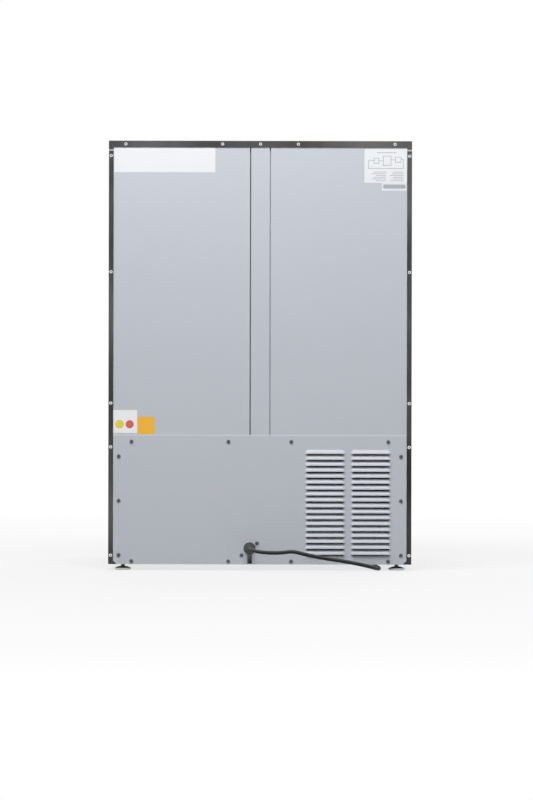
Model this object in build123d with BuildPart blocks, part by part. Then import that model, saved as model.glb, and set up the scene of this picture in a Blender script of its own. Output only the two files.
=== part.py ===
from build123d import *
import math
import os

os.makedirs("parts", exist_ok=True)

# An undercounter outdoor refrigerator, one compartment, hinged on its right side.
# +Z is up, the door faces -Y and the service side faces +Y.
# The origin is on the floor under the middle of the whole appliance.

# Cabinet
width = 595.0
body_height = 831.0
cabinet_depth = 540.0
foot_height = 12.0
sheet = 1.0
seam = 0.3

# Casing edges
side_flange = 9.5
top_flange = 12.8
top_skirt = 20.0
mitre_gap = 0.5
flange_rise = 3.0

# Rear panels
strip_width = 36.4
groove_width = 2.4
groove_depth = 4.0
channel_wing = 12.0
panel_leg = 31.0
panel_overlap = 21.0

# Machine space behind the service cover
machine_height = 254.0
machine_depth = 230.0
cover_corner = 7.0
toe_height = 93.0
toe_recess = 25.0
base_lip = 24.0

# Louvres in the service cover
louvre_columns = 2
louvre_rows = 18
louvre_pitch = 11.64
louvre_length = 80.5
louvre_gap = 9.0
louvre_rise = 8.3
louvre_proud = 3.4
louvre_mouth = 3.0
louvre_inset = 124.5
lowest_louvre = 19.2

# Insulation and liner
side_wall = 45.0
top_wall = 46.0
rear_wall = 50.0
floor_wall = 45.0
machine_wall = 38.0
liner_skin = 1.0
liner_radius = 14.0
rebate = 14.0
rebate_depth = 10.0

# Door
door_margin = 1.5
door_gap = 7.0
door_thickness = 44.0
door_bottom = 94.0
door_top_clearance = 10.0
door_skin = 1.0
door_radius = 3.0
door_liner_skin = 1.5
dyke_height = 25.0
dyke_width = 22.0
hinge_side = 12.0
hinge_set_back = 22.0

# Handle
handle_standoff = 48.0
bar_diameter = 22.0
handle_length = 520.0
handle_side = 48.0
post_diameter = 14.0
post_inset = 60.0

# Hinges
hinge_plate = 3.0
pin_diameter = 8.0
pin_length = 14.0
bush_wall = 2.0
bush_collar = 1.6
pin_clearance = 0.06

# Shelves
shelf_levels = (168.0, 330.0, 490.0)
shelf_depth = 340.0
shelf_glass = 4.0
shelf_side_gap = 2.5
rib_reach = 7.0
rib_height = 6.0
trim_depth = 12.0
trim_wall = 1.6

# Screws
flange_screw_rises = (17.5, 230.0, 316.0, 573.5)
flange_screw_drop = 29.5
corner_screw_inset = 33.5
middle_screw_spread = 74.3
cover_screw_inset = 20.5
cover_screw_rises = (18.0, 124.6, 211.5)
cover_corner_inset = 45.5
cover_middle_spread = 61.6
cover_edge_rise = 6.0
cover_edge_drop = 13.6
casing_screw_head = 6.4
cover_screw_head = 7.4
screw_head_height = 1.5
screw_shank = 3.4
screw_length = 8.0
hole_clearance = 0.3

# Supply cord
cord_diameter = 7.5
grommet_x = 19.8
grommet_z = 31.4
grommet_flange = 24.0
snout_length = 20.0
keyhole_slot = 8.8

# Places worked out from the sizes above
body_bottom = foot_height
body_top = foot_height + body_height
half = width / 2
handle_reach = door_gap + door_thickness + handle_standoff
back = (cabinet_depth + handle_reach - snout_length) / 2
front = back - cabinet_depth
inside = half - sheet
panel_face = back - sheet
foam_back = panel_face - sheet
machine_top = body_bottom + machine_height
machine_front = back - machine_depth
toe_top = body_bottom + toe_height
cavity_half = inside - side_wall
cavity_top = body_top - sheet - top_wall
cavity_floor = toe_top + floor_wall
cavity_back = back - rear_wall
hump_top = machine_top + machine_wall
hump_front = machine_front - machine_wall
door_left = -half + door_margin
door_right = half - door_margin
door_low = body_bottom + door_bottom
door_high = body_top - door_top_clearance
door_back = front - door_gap
door_face = door_back - door_thickness


def block(x, y, z, mode=Mode.ADD):
    """A block that spans the three ranges, each given as (low, high)."""
    middle = ((x[0] + x[1]) / 2, (y[0] + y[1]) / 2, (z[0] + z[1]) / 2)
    with Locations(middle):
        Box(x[1] - x[0], y[1] - y[0], z[1] - z[0], mode=mode)


def facing_back(y):
    """A plane across the appliance at y: sketch x is X, sketch y is Z, and it extrudes to -Y."""
    return Plane.XZ.offset(-y)


def save(piece, name):
    """Labels a finished piece and writes it as one file."""
    piece.part.label = name
    export_step(piece.part, f"parts/{name}.step")


# Screw places on the rear, as (X, Z)
flange_mid = half - side_flange / 2
flange_heights = [body_bottom + rise for rise in flange_screw_rises]
flange_heights.append(body_top - flange_screw_drop)
top_screw_z = body_top - top_flange / 2
corner_screw_x = half - corner_screw_inset
top_row_x = (-corner_screw_x, -middle_screw_spread, 0.0, middle_screw_spread, corner_screw_x)
casing_screw_points = [(side * flange_mid, z) for side in (-1, 1) for z in flange_heights]
casing_screw_points += [(x, top_screw_z) for x in top_row_x]
cover_side_x = half - cover_screw_inset
cover_rows = [body_bottom + rise for rise in cover_screw_rises]
cover_corner_x = half - cover_corner_inset
cover_row_x = (-cover_corner_x, -cover_middle_spread, cover_middle_spread, cover_corner_x)
cover_low_z = body_bottom + cover_edge_rise
cover_high_z = machine_top - cover_edge_drop
cover_screw_points = [(side * cover_side_x, z) for side in (-1, 1) for z in cover_rows]
cover_screw_points += [(x, z) for x in cover_row_x for z in (cover_low_z, cover_high_z)]
exit_x = grommet_x
exit_z = body_bottom + grommet_z
clamp_points = [(exit_x - 14.5, exit_z + 10.0), (exit_x + 15.9, exit_z - 13.5)]
cover_screw_points += clamp_points


def rear_holes(points, y, depth):
    """Clearance holes for the rear screws, drilled from y towards the front."""
    with BuildSketch(facing_back(y)) as pattern:
        with Locations(*points):
            Circle(screw_shank / 2 + hole_clearance)
    extrude(pattern.sketch, amount=depth, mode=Mode.SUBTRACT)


# Top cover: a lid with skirts on the front and the sides and a mitred flange at the rear
with BuildPart() as top_cover:
    with BuildSketch(facing_back(back)):
        with Locations((0, body_top - top_skirt / 2)):
            Rectangle(width, top_skirt)
        with Locations((0, body_top - top_flange - top_skirt / 2)):
            Rectangle(width - 2 * side_flange, top_skirt, mode=Mode.SUBTRACT)
        mitre_length = math.hypot(side_flange, top_flange) - 2 * sheet
        for side in (-1, 1):
            mitre_turn = math.degrees(math.atan2(top_flange, side * side_flange))
            with Locations((side * flange_mid, top_screw_z)):
                Rectangle(mitre_length, mitre_gap, rotation=mitre_turn, mode=Mode.SUBTRACT)
    extrude(amount=sheet)
    block((-half, half), (front, back), (body_top - sheet, body_top))
    block((-half, half), (front, front + sheet), (body_top - top_skirt, body_top))
    for side in (-1, 1):
        skirt = sorted((side * half, side * inside))
        block(skirt, (front, back), (body_top - top_skirt, body_top))
    corner_edges = top_cover.edges().filter_by(Axis.Z).filter_by(
        lambda edge: abs(abs(edge.center().X) - half) < 0.01 and edge.center().Y < front + sheet / 2
    )
    fillet(corner_edges, sheet * 0.8)
    rear_holes([p for p in casing_screw_points if p[1] > body_top - top_flange], back, sheet)
save(top_cover, "top_cover")

# Side panels: a wall, a flange on the rear edge and a hem behind the door
panel_low = body_bottom + flange_rise
panel_high = body_top - top_skirt - seam
for side, name in ((-1, "side_panel_left"), (1, "side_panel_right")):
    with BuildPart() as side_panel:
        with BuildSketch(Plane.XY.offset(panel_low)) as section:
            with BuildLine():
                Polyline(
                    (side * half, back),
                    (side * half, front),
                    (side * inside, front),
                    (side * inside, panel_face),
                    (side * (half - side_flange), panel_face),
                    (side * (half - side_flange), back),
                    close=True,
                )
            make_face()
            outer_corner = section.vertices().sort_by(Axis.Y)[-2:].sort_by(Axis.X)
            fillet(outer_corner[-1 if side > 0 else 0], sheet * 0.8)
        extrude(amount=panel_high - panel_low)
        own_points = [p for p in casing_screw_points if side * p[0] > inside - side_flange]
        rear_holes([p for p in own_points if p[1] < panel_high], back, sheet)
    save(side_panel, name)

# Front frame round the door opening, with a lip under the insulation
with BuildPart() as front_frame:
    with BuildSketch(facing_back(front + sheet)):
        with Locations((0, (toe_top + panel_high) / 2)):
            Rectangle(2 * inside - 2 * 0.1, panel_high - toe_top)
        with Locations((0, (cavity_floor + cavity_top) / 2)):
            RectangleRounded(
                2 * cavity_half, cavity_top - cavity_floor, liner_radius, mode=Mode.SUBTRACT
            )
    extrude(amount=sheet)
    block((-inside + 0.1, inside - 0.1), (front, front + 60.0), (toe_top - sheet, toe_top))
save(front_frame, "front_frame")

# Base pan: a tray with a lip on three sides and its corners cut out for the foot blocks
foot_block = 50.0
foot_block_height = 26.0
foot_block_gap = 0.1
with BuildPart() as base_pan:
    pan_front = front + toe_recess + sheet
    block((-inside, inside), (pan_front, foam_back + sheet), (body_bottom, body_bottom + sheet))
    for side in (-1, 1):
        lip = sorted((side * inside, side * (inside - sheet)))
        block(lip, (pan_front, foam_back + sheet), (body_bottom, body_bottom + base_lip))
    block((-inside, inside), (foam_back, foam_back + sheet), (body_bottom, body_bottom + base_lip))
    block((-inside, inside), (pan_front, pan_front + sheet), (body_bottom, body_bottom + base_lip))
    cut_top = body_bottom + foot_block_height + 1.0
    for side in (-1, 1):
        corner_x = sorted((side * (inside + 1.0), side * (inside - foot_block - foot_block_gap)))
        block(
            corner_x,
            (foam_back + sheet - foot_block - foot_block_gap, back),
            (body_bottom - 1.0, cut_top),
            mode=Mode.SUBTRACT,
        )
        block(
            corner_x,
            (front, pan_front + foot_block + foot_block_gap),
            (body_bottom - 1.0, cut_top),
            mode=Mode.SUBTRACT,
        )
    rear_holes(cover_screw_points, back, 5.0)
    notch_half = grommet_flange / 2 + 1.0
    block(
        (exit_x - notch_half, exit_x + notch_half),
        (foam_back - 2.0, back),
        (body_bottom + sheet, body_top),
        mode=Mode.SUBTRACT,
    )
save(base_pan, "base_pan")

# Foot blocks: moulded corners that carry the levelling feet and show below the side panels
stud_diameter = 8.0
thread_clearance = 0.3
foot_inset = 27.0
rear_block_y = panel_face - foot_block / 2
front_block_y = front + toe_recess + sheet + foot_block / 2
foot_places = [
    ("front_left", -(inside - foot_inset), front_block_y),
    ("front_right", inside - foot_inset, front_block_y),
    ("rear_left", -(inside - foot_inset), rear_block_y),
    ("rear_right", inside - foot_inset, rear_block_y),
]
with BuildPart() as foot_blocks:
    for _, x, y in foot_places:
        side = 1 if x > 0 else -1
        wide = sorted((side * (inside - foot_block), side * inside))
        skid = sorted((side * (inside - foot_block), side * half))
        deep = (y - foot_block / 2, y + foot_block / 2)
        block(wide, deep, (body_bottom, body_bottom + foot_block_height))
        block(skid, deep, (body_bottom, panel_low - 0.2))
        with Locations((x, y, body_bottom + foot_block_height / 2)):
            Cylinder(
                stud_diameter / 2 + thread_clearance, foot_block_height + 2.0, mode=Mode.SUBTRACT
            )
    rear_holes(casing_screw_points + cover_screw_points, back, 12.0)
save(foot_blocks, "foot_blocks")

# Back panels: a sheet over the insulation, with a leg beside the machine space
strip_half = strip_width / 2
panel_edge = strip_half + groove_width
panel_bottom = machine_top - panel_overlap
for side, name in ((-1, "back_panel_left"), (1, "back_panel_right")):
    with BuildPart() as back_panel:
        with BuildSketch(facing_back(panel_face)):
            with BuildLine():
                Polyline(
                    (side * panel_edge, body_top - sheet),
                    (side * panel_edge, panel_bottom),
                    (side * (inside - panel_leg), panel_bottom),
                    (side * (inside - panel_leg), body_bottom + foot_block_height + seam),
                    (side * inside, body_bottom + foot_block_height + seam),
                    (side * inside, body_top - sheet),
                    close=True,
                )
            make_face()
        extrude(amount=sheet)
        own = [p for p in casing_screw_points + cover_screw_points if side * p[0] > 20.0]
        rear_holes([p for p in own if p[1] > body_bottom + foot_block_height], back, 3.0)
    save(back_panel, name)

# Channel between the back panels: a raised strip, a groove on each side and wings under the panels
with BuildPart() as back_centre_channel:
    with BuildSketch(Plane.XY.offset(panel_bottom)):
        with Locations((0, panel_face - sheet / 2)):
            Rectangle(strip_width, sheet)
        groove_floor = panel_face - groove_depth
        for side in (-1, 1):
            with Locations((side * (strip_half - sheet / 2), (panel_face + groove_floor) / 2)):
                Rectangle(sheet, groove_depth)
            with Locations((side * (strip_half + groove_width / 2), groove_floor - sheet / 2)):
                Rectangle(groove_width + 2 * sheet, sheet)
            with Locations((side * (panel_edge + sheet / 2), (foam_back + groove_floor) / 2)):
                Rectangle(sheet, foam_back - groove_floor)
            with Locations((side * (panel_edge + channel_wing / 2), foam_back - sheet / 2)):
                Rectangle(channel_wing, sheet)
    extrude(amount=body_top - sheet - panel_bottom)
    notch_low = body_top - top_flange - 8.0
    for side in (-1, 1):
        notch = sorted((side * strip_half, side * panel_edge))
        block(notch, (foam_back - 10.0, back), (notch_low, body_top), mode=Mode.SUBTRACT)
    rear_holes([p for p in casing_screw_points if abs(p[0]) < 5.0], back, 3.0)
save(back_centre_channel, "back_centre_channel")

# Service cover: a sheet with pressed louvres, a keyhole for the cord and chamfered corners
cover_half = half - side_flange - seam
column_step = louvre_length + louvre_gap
lowest_lip = body_bottom + lowest_louvre
louvre_middle = louvre_inset - half
hood_slope = 5.4
with BuildPart(mode=Mode.PRIVATE) as louvre_hood:
    for inset, mode in ((0.0, Mode.ADD), (sheet, Mode.SUBTRACT)):
        with BuildSketch(facing_back(-inset)) as root:
            SlotOverall(louvre_length - 2 * inset, 2 * (louvre_rise - inset))
        with BuildSketch(facing_back(louvre_proud - inset)) as crown:
            SlotOverall(louvre_length - 2 * hood_slope, 2 * (louvre_rise - hood_slope))
        loft([root.sketch, crown.sketch], mode=mode)
    block(
        (-louvre_length, louvre_length), (-sheet * 2, 0), (-louvre_rise, louvre_rise), Mode.SUBTRACT
    )
    block(
        (-louvre_length, louvre_length), (-1.0, 2 * louvre_proud), (-2 * louvre_rise, 0), Mode.SUBTRACT
    )
louvre_places = [
    (louvre_middle + (column - (louvre_columns - 1) / 2) * column_step, lowest_lip + row * louvre_pitch)
    for column in range(louvre_columns)
    for row in range(louvre_rows)
]
with BuildPart() as service_cover:
    with BuildSketch(facing_back(back)) as plate:
        with Locations((0, (body_bottom + machine_top) / 2)):
            Rectangle(2 * cover_half, machine_height)
        chamfer(plate.vertices().group_by(Axis.Y)[0], cover_corner)
        with Locations((exit_x, exit_z)):
            Circle(grommet_flange / 2 - 2.0, mode=Mode.SUBTRACT)
        with Locations((exit_x, (exit_z + body_bottom) / 2)):
            Rectangle(keyhole_slot, exit_z - body_bottom + 1.0, mode=Mode.SUBTRACT)
        for x, z in louvre_places:
            with Locations((x, z + (louvre_rise / 2 - louvre_mouth) / 2)):
                Rectangle(
                    louvre_length - louvre_rise, louvre_rise / 2 + louvre_mouth, mode=Mode.SUBTRACT
                )
    extrude(amount=sheet)
    for x, z in louvre_places:
        add(louvre_hood.part.moved(Location((x, back, z))))
    rear_holes(cover_screw_points, back, sheet)
save(service_cover, "service_cover")


def rear_screws(points, head_diameter, seat):
    """Pan head screws driven towards the front, with their heads seated at y = seat."""
    with BuildSketch(facing_back(seat)) as shanks:
        with Locations(*points):
            Circle(screw_shank / 2)
    extrude(shanks.sketch, amount=screw_length)
    with BuildSketch(facing_back(seat)) as heads:
        with Locations(*points):
            Circle(head_diameter / 2)
    extrude(heads.sketch, amount=-screw_head_height, taper=18)


with BuildPart() as casing_screws:
    rear_screws(casing_screw_points, casing_screw_head, back)
save(casing_screws, "casing_screws")

with BuildPart() as cover_screws:
    rear_screws(cover_screw_points, cover_screw_head, back)
save(cover_screws, "cover_screws")


def cavity_form(grow):
    """The space of the food compartment, made larger all round by grow."""
    wide = cavity_half + grow
    low = cavity_floor - grow
    high = cavity_top + grow
    with BuildPart(mode=Mode.PRIVATE) as form:
        with BuildSketch(Plane.YZ.offset(-wide)) as profile:
            with BuildLine():
                Polyline(
                    (front + sheet, low),
                    (hump_front + grow, low),
                    (hump_front + grow, hump_top - grow),
                    (cavity_back + grow, hump_top - grow),
                    (cavity_back + grow, high),
                    (front + sheet, high),
                    close=True,
                )
            make_face()
            fillet(profile.vertices().filter_by(lambda v: v.X > front + 2 * sheet), liner_radius)
        extrude(amount=2 * wide)
        with BuildSketch(facing_back(back)) as mouth:
            with Locations((0, (low + high) / 2)):
                RectangleRounded(2 * wide, high - low, liner_radius + grow)
        extrude(mouth.sketch, amount=cabinet_depth + 10.0, mode=Mode.INTERSECT)
    return form.part


# Inner liner: a thin moulding with the ribs that carry the shelves
evaporator_depth = 52.0
shelf_back = cavity_back - evaporator_depth - 12.0
shelf_front = shelf_back - shelf_depth
shelf_z = [cavity_floor + level for level in shelf_levels]
with BuildPart() as inner_liner:
    add(cavity_form(liner_skin))
    add(cavity_form(0), mode=Mode.SUBTRACT)
    for z in shelf_z:
        for side in (-1, 1):
            rib = sorted((side * cavity_half, side * (cavity_half - rib_reach)))
            block(rib, (shelf_front - 6.0, shelf_back + 6.0), (z - rib_height, z))
save(inner_liner, "inner_liner")

# Cabinet insulation: foamed between the casing and the liner
with BuildPart() as cabinet_foam:
    block((-inside, inside), (front + sheet, foam_back), (toe_top, body_top - sheet))
    block(
        (-half, half), (machine_front, back), (toe_top - 1.0, machine_top), mode=Mode.SUBTRACT
    )
    add(cavity_form(liner_skin), mode=Mode.SUBTRACT)
    rebate_low = foam_back - rebate_depth
    block((-half, half), (rebate_low, back), (body_top - rebate, body_top), mode=Mode.SUBTRACT)
    for side in (-1, 1):
        edge = sorted((side * half, side * (inside - rebate)))
        block(edge, (rebate_low, back), (machine_top - 1.0, body_top), mode=Mode.SUBTRACT)
    channel_half = panel_edge + channel_wing
    channel_low = panel_face - groove_depth - sheet - seam
    block(
        (-channel_half, channel_half),
        (channel_low, back),
        (machine_top - 1.0, body_top),
        mode=Mode.SUBTRACT,
    )
save(cabinet_foam, "cabinet_foam")

# Levelling feet: a pad and a threaded stud in one piece
pad_diameter = 32.0
stud_length = 46.0
with BuildPart(mode=Mode.PRIVATE) as levelling_foot:
    with BuildSketch(Plane.XZ):
        with BuildLine():
            Polyline(
                (0, 0),
                (pad_diameter / 2 - 1.5, 0),
                (pad_diameter / 2, 1.5),
                (pad_diameter / 2, 4.0),
                (stud_diameter, 7.0),
                (stud_diameter / 2, 7.0),
                (stud_diameter / 2, 6.0 + stud_length - 1.0),
                (stud_diameter / 2 - 1.0, 6.0 + stud_length),
                (0, 6.0 + stud_length),
                close=True,
            )
        make_face()
    revolve(axis=Axis.Z)
for place, x, y in foot_places:
    with BuildPart() as foot:
        add(levelling_foot.part.moved(Location((x, y, 0))))
    save(foot, f"foot_{place}")

# Shelves: a glass sheet on the liner ribs, with a trim on its front and rear edges
shelf_half = cavity_half - shelf_side_gap
trim_half = cavity_half - rib_reach - 1.0
for name, z in zip(("lower", "middle", "upper"), shelf_z):
    with BuildPart() as glass:
        with BuildSketch(Plane.XY.offset(z)):
            with Locations((0, (shelf_front + shelf_back) / 2)):
                RectangleRounded(2 * shelf_half, shelf_depth - 2 * trim_wall, 6.0)
        extrude(amount=shelf_glass)
    save(glass, f"shelf_glass_{name}")


def trim_profile(edge, inward, z, upstand):
    """Channel section round the edge of a shelf at y = edge, open towards inward (+1 or -1)."""
    high = z + shelf_glass + trim_wall
    with BuildSketch(Plane.YZ.offset(-trim_half)) as section:
        with BuildLine():
            Polyline(
                (edge, z - trim_wall),
                (edge + inward * trim_depth, z - trim_wall),
                (edge + inward * trim_depth, z),
                (edge + inward * trim_wall, z),
                (edge + inward * trim_wall, z + shelf_glass),
                (edge + inward * trim_depth, z + shelf_glass),
                (edge + inward * trim_depth, high),
                (edge + inward * trim_wall, high),
                (edge + inward * trim_wall, high + upstand),
                (edge, high + upstand),
                close=True,
            )
        make_face()
    return section.sketch


with BuildPart() as shelf_trims:
    for z in shelf_z:
        extrude(trim_profile(shelf_front, 1, z, 0.6), amount=2 * trim_half)
        extrude(trim_profile(shelf_back, -1, z, 14.0), amount=2 * trim_half)
save(shelf_trims, "shelf_trims")

# Evaporator cover: a moulded hood on the rear wall with a ring grille over the fan
evaporator_half = 200.0
evaporator_low = shelf_z[0] + 14.0
evaporator_high = cavity_top - 16.0
evaporator_skin = 2.0
evaporator_face = cavity_back - evaporator_depth
fan_x = 0.0
fan_z = evaporator_high - 90.0
fan_reach = 46.0
fan_opening = 104.0
with BuildPart() as evaporator_cover:
    hood_size = (2 * evaporator_half, evaporator_high - evaporator_low)
    with BuildSketch(facing_back(cavity_back)):
        with Locations((0, (evaporator_low + evaporator_high) / 2)):
            RectangleRounded(*hood_size, 16.0)
    extrude(amount=evaporator_depth, taper=4)
    fillet(evaporator_cover.faces().sort_by(Axis.Y)[0].edges(), 5.0)
    with BuildSketch(facing_back(cavity_back)):
        with Locations((0, (evaporator_low + evaporator_high) / 2)):
            RectangleRounded(*[size - 2 * evaporator_skin for size in hood_size], 14.0)
    extrude(amount=evaporator_depth - evaporator_skin, taper=4, mode=Mode.SUBTRACT)
    with BuildSketch(facing_back(evaporator_face + evaporator_skin)):
        with Locations((fan_x, fan_z)):
            Circle(fan_opening / 2)
            for radius in (44.0, 34.0, 24.0):
                Circle(radius, mode=Mode.SUBTRACT)
                Circle(radius - 3.0)
            Circle(12.0, mode=Mode.SUBTRACT)
            with PolarLocations(0, 3):
                Rectangle(fan_opening, 4.0, mode=Mode.SUBTRACT)
    extrude(amount=evaporator_skin, mode=Mode.SUBTRACT)
    with BuildSketch(facing_back(evaporator_face + evaporator_skin)):
        with Locations((0, evaporator_low + 40.0)):
            with GridLocations(60.0, 12.0, 5, 4):
                SlotOverall(44.0, 5.0)
    extrude(amount=evaporator_skin, mode=Mode.SUBTRACT)
save(evaporator_cover, "evaporator_cover")

# Evaporator coil: a finned block with return bends at its ends
coil_half = 160.0
coil_low = evaporator_low + 70.0
coil_high = fan_z - 70.0
coil_depth = 34.0
with BuildPart() as evaporator_coil:
    block((-coil_half, coil_half), (cavity_back - coil_depth, cavity_back), (coil_low, coil_high))
    bend_pitch = 25.0
    bends = int((coil_high - coil_low) / bend_pitch)
    for side in (-1, 1):
        with BuildSketch(Plane.YZ.offset(side * coil_half)):
            with Locations((cavity_back - coil_depth / 2, (coil_low + coil_high) / 2)):
                with GridLocations(1.0, bend_pitch, 1, bends):
                    SlotOverall(16.0, 8.0, rotation=90)
        extrude(amount=side * 9.0)
save(evaporator_coil, "evaporator_coil")


def fan_wheel(hub_radius, tip_radius, height, blades, bore):
    """An axial fan: a round hub with a bore and twisted blades, its axis on Z from 0 to height."""
    with BuildPart(mode=Mode.PRIVATE) as wheel:
        Cylinder(hub_radius, height, align=(Align.CENTER, Align.CENTER, Align.MIN))
        for blade in range(blades):
            turn = 360 / blades * blade
            root_frame = Plane.XY.rotated((0, 0, turn))
            sections = []
            for radius, chord, pitch in (
                (hub_radius - 1.5, 0.78 * height, 38.0),
                (tip_radius, 1.9 * height, 62.0),
            ):
                origin = root_frame.from_local_coords(Vector(radius, 0, height / 2))
                outward = root_frame.x_dir
                along = root_frame.z_dir.rotate(Axis((0, 0, 0), outward), pitch)
                with BuildSketch(Plane(origin, x_dir=along, z_dir=outward)) as section:
                    Rectangle(chord, 1.6)
                sections.append(section.sketch)
            loft(sections, ruled=True)
        with BuildSketch(Plane.XY):
            Circle(tip_radius)
        extrude(amount=height, mode=Mode.INTERSECT)
        with BuildSketch(Plane.XY):
            Circle(bore)
        extrude(amount=height - 3.0, mode=Mode.SUBTRACT)
    return wheel.part


shaft_radius = 2.5
shaft_clearance = 0.06
fan_gap = 0.5
evaporator_fan_height = 14.0
motor_radius = 24.0
motor_height = 20.0
motor_foot = 5.0
motor_face = cavity_back - motor_foot - motor_height
with BuildPart() as evaporator_fan_motor:
    with BuildSketch(facing_back(cavity_back)):
        with Locations((fan_x, fan_z)):
            RectangleRounded(120.0, 24.0, 6.0)
    extrude(amount=motor_foot)
    with BuildSketch(facing_back(cavity_back - motor_foot)):
        with Locations((fan_x, fan_z)):
            Circle(motor_radius)
    extrude(amount=motor_height)
    with BuildSketch(facing_back(motor_face)):
        with Locations((fan_x, fan_z)):
            Circle(shaft_radius)
    extrude(amount=evaporator_fan_height - 4.0)
save(evaporator_fan_motor, "evaporator_fan_motor")

with BuildPart() as evaporator_fan:
    axis_plane = Plane(
        (fan_x, motor_face - fan_gap, fan_z), x_dir=(1, 0, 0), z_dir=(0, -1, 0)
    )
    wheel = fan_wheel(15.0, fan_reach, evaporator_fan_height, 5, shaft_radius + shaft_clearance)
    add(axis_plane.from_local_coords(wheel))
save(evaporator_fan, "evaporator_fan")

# Control housing under the ceiling, with its display, light and four keys
housing_half = 150.0
housing_front = front + 34.0
housing_depth = 66.0
housing_drop = 34.0
button_radius = 5.0
button_length = 8.0
button_proud = 1.8
button_travel = 1.2
button_spare = 1.6
button_clearance = 0.1
button_z = cavity_top - housing_drop / 2
button_places = [("power", 24.0), ("set", 52.0), ("down", 80.0), ("up", 108.0)]
lens_size = (96.0, 20.0)
lens_x = -70.0
light_size = (220.0, 34.0)
lens_thickness = 2.0
with BuildPart() as control_housing:
    with BuildSketch(Plane.YZ.offset(-housing_half)) as side_view:
        with BuildLine():
            Polyline(
                (housing_front, cavity_top),
                (housing_front, cavity_top - housing_drop),
                (housing_front + housing_depth - 10.0, cavity_top - housing_drop),
                (housing_front + housing_depth, cavity_top - housing_drop + 12.0),
                (housing_front + housing_depth, cavity_top),
                close=True,
            )
        make_face()
        fillet(side_view.vertices().group_by(Axis.Y)[0].sort_by(Axis.X)[0], 4.0)
    extrude(amount=2 * housing_half)
    with BuildSketch(facing_back(housing_front + lens_thickness)):
        with Locations((lens_x, button_z)):
            Rectangle(*lens_size)
    extrude(amount=lens_thickness, mode=Mode.SUBTRACT)
    bore_depth = button_length - button_proud + button_travel + button_spare
    with BuildSketch(facing_back(housing_front + bore_depth)):
        with Locations(*[(x, button_z) for _, x in button_places]):
            Circle(button_radius + button_clearance)
    extrude(amount=bore_depth, mode=Mode.SUBTRACT)
    light_low = cavity_top - housing_drop
    light_y = housing_front + housing_depth / 2
    block(
        (-light_size[0] / 2, light_size[0] / 2),
        (light_y - light_size[1] / 2, light_y + light_size[1] / 2),
        (light_low, light_low + lens_thickness),
        mode=Mode.SUBTRACT,
    )
save(control_housing, "control_housing")

with BuildPart() as display_lens:
    with BuildSketch(facing_back(housing_front + lens_thickness)):
        with Locations((lens_x, button_z)):
            Rectangle(*lens_size)
    extrude(amount=lens_thickness)
save(display_lens, "display_lens")

with BuildPart() as light_lens:
    block(
        (-light_size[0] / 2, light_size[0] / 2),
        (light_y - light_size[1] / 2, light_y + light_size[1] / 2),
        (light_low, light_low + lens_thickness),
    )
save(light_lens, "light_lens")

for name, x in button_places:
    with BuildPart() as button:
        with BuildSketch(facing_back(housing_front + button_length - button_proud)):
            with Locations((x, button_z)):
                Circle(button_radius)
        extrude(amount=button_length)
        fillet(button.faces().sort_by(Axis.Y)[0].edges(), 1.0)
    save(button, f"button_{name}")

# Toe grille: a slotted sheet in front of the base pan with a return on its upper edge
grille_columns = 2
grille_rows = 5
grille_slot = (220.0, 6.0)
grille_pitch = (250.0, 14.0)
with BuildPart() as toe_grille:
    toe_middle = (body_bottom + toe_top - sheet) / 2
    with BuildSketch(facing_back(front + toe_recess + sheet)):
        with Locations((0, toe_middle)):
            Rectangle(2 * (inside - seam), toe_top - sheet - body_bottom)
            with GridLocations(*grille_pitch, grille_columns, grille_rows):
                SlotOverall(*grille_slot, mode=Mode.SUBTRACT)
    extrude(amount=sheet)
    return_low = toe_top - 2 * sheet
    grille_y = front + toe_recess
    block(
        (-inside + seam, inside - seam), (grille_y, grille_y + 12.0), (return_low, return_low + sheet)
    )
save(toe_grille, "toe_grille")

# Compressor: a welded shell on a mounting plate with four rubber feet
pan_top = body_bottom + sheet
compressor_x = half - 147.5
compressor_y = back - 118.0
compressor_radius = 76.0
compressor_height = 158.0
compressor_plate = (210.0, 120.0)
rubber_height = 14.0
rubber_radius = 13.0
plate_z = pan_top + rubber_height
with BuildPart() as compressor_feet:
    with BuildSketch(Plane.XY.offset(pan_top)):
        with Locations((compressor_x, compressor_y)):
            with GridLocations(compressor_plate[0] - 32.0, compressor_plate[1] - 32.0, 2, 2):
                Circle(rubber_radius)
    extrude(amount=rubber_height, taper=8)
save(compressor_feet, "compressor_feet")

edge_x = compressor_x + compressor_radius
base_z = plate_z + 3.0
waist_z = base_z + 0.55 * compressor_height
crown_z = base_z + compressor_height
with BuildPart() as compressor:
    with BuildSketch(Plane.XY.offset(plate_z)):
        with Locations((compressor_x, compressor_y)):
            RectangleRounded(*compressor_plate, 14.0)
    extrude(amount=3.0)
    with BuildSketch(Plane.XZ.offset(-compressor_y)):
        with BuildLine():
            Polyline(
                (compressor_x, base_z),
                (edge_x - 14.0, base_z),
                (edge_x - 4.0, base_z + 16.0),
                (edge_x - 4.0, waist_z - 4.0),
                (edge_x, waist_z - 4.0),
                (edge_x, waist_z + 4.0),
                (edge_x - 4.0, waist_z + 4.0),
            )
            ThreePointArc(
                (edge_x - 4.0, waist_z + 4.0),
                (edge_x - 16.0, crown_z - 14.0),
                (edge_x - 46.0, crown_z),
            )
            Polyline((edge_x - 46.0, crown_z), (compressor_x, crown_z), (compressor_x, base_z))
        make_face()
    revolve(axis=Axis((compressor_x, compressor_y, 0), (0, 0, 1)))
    terminal_x = compressor_x - compressor_radius
    block(
        (terminal_x - 16.0, terminal_x + 20.0),
        (compressor_y - 26.0, compressor_y + 26.0),
        (plate_z + 26.0, plate_z + 82.0),
    )
save(compressor, "compressor")

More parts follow.
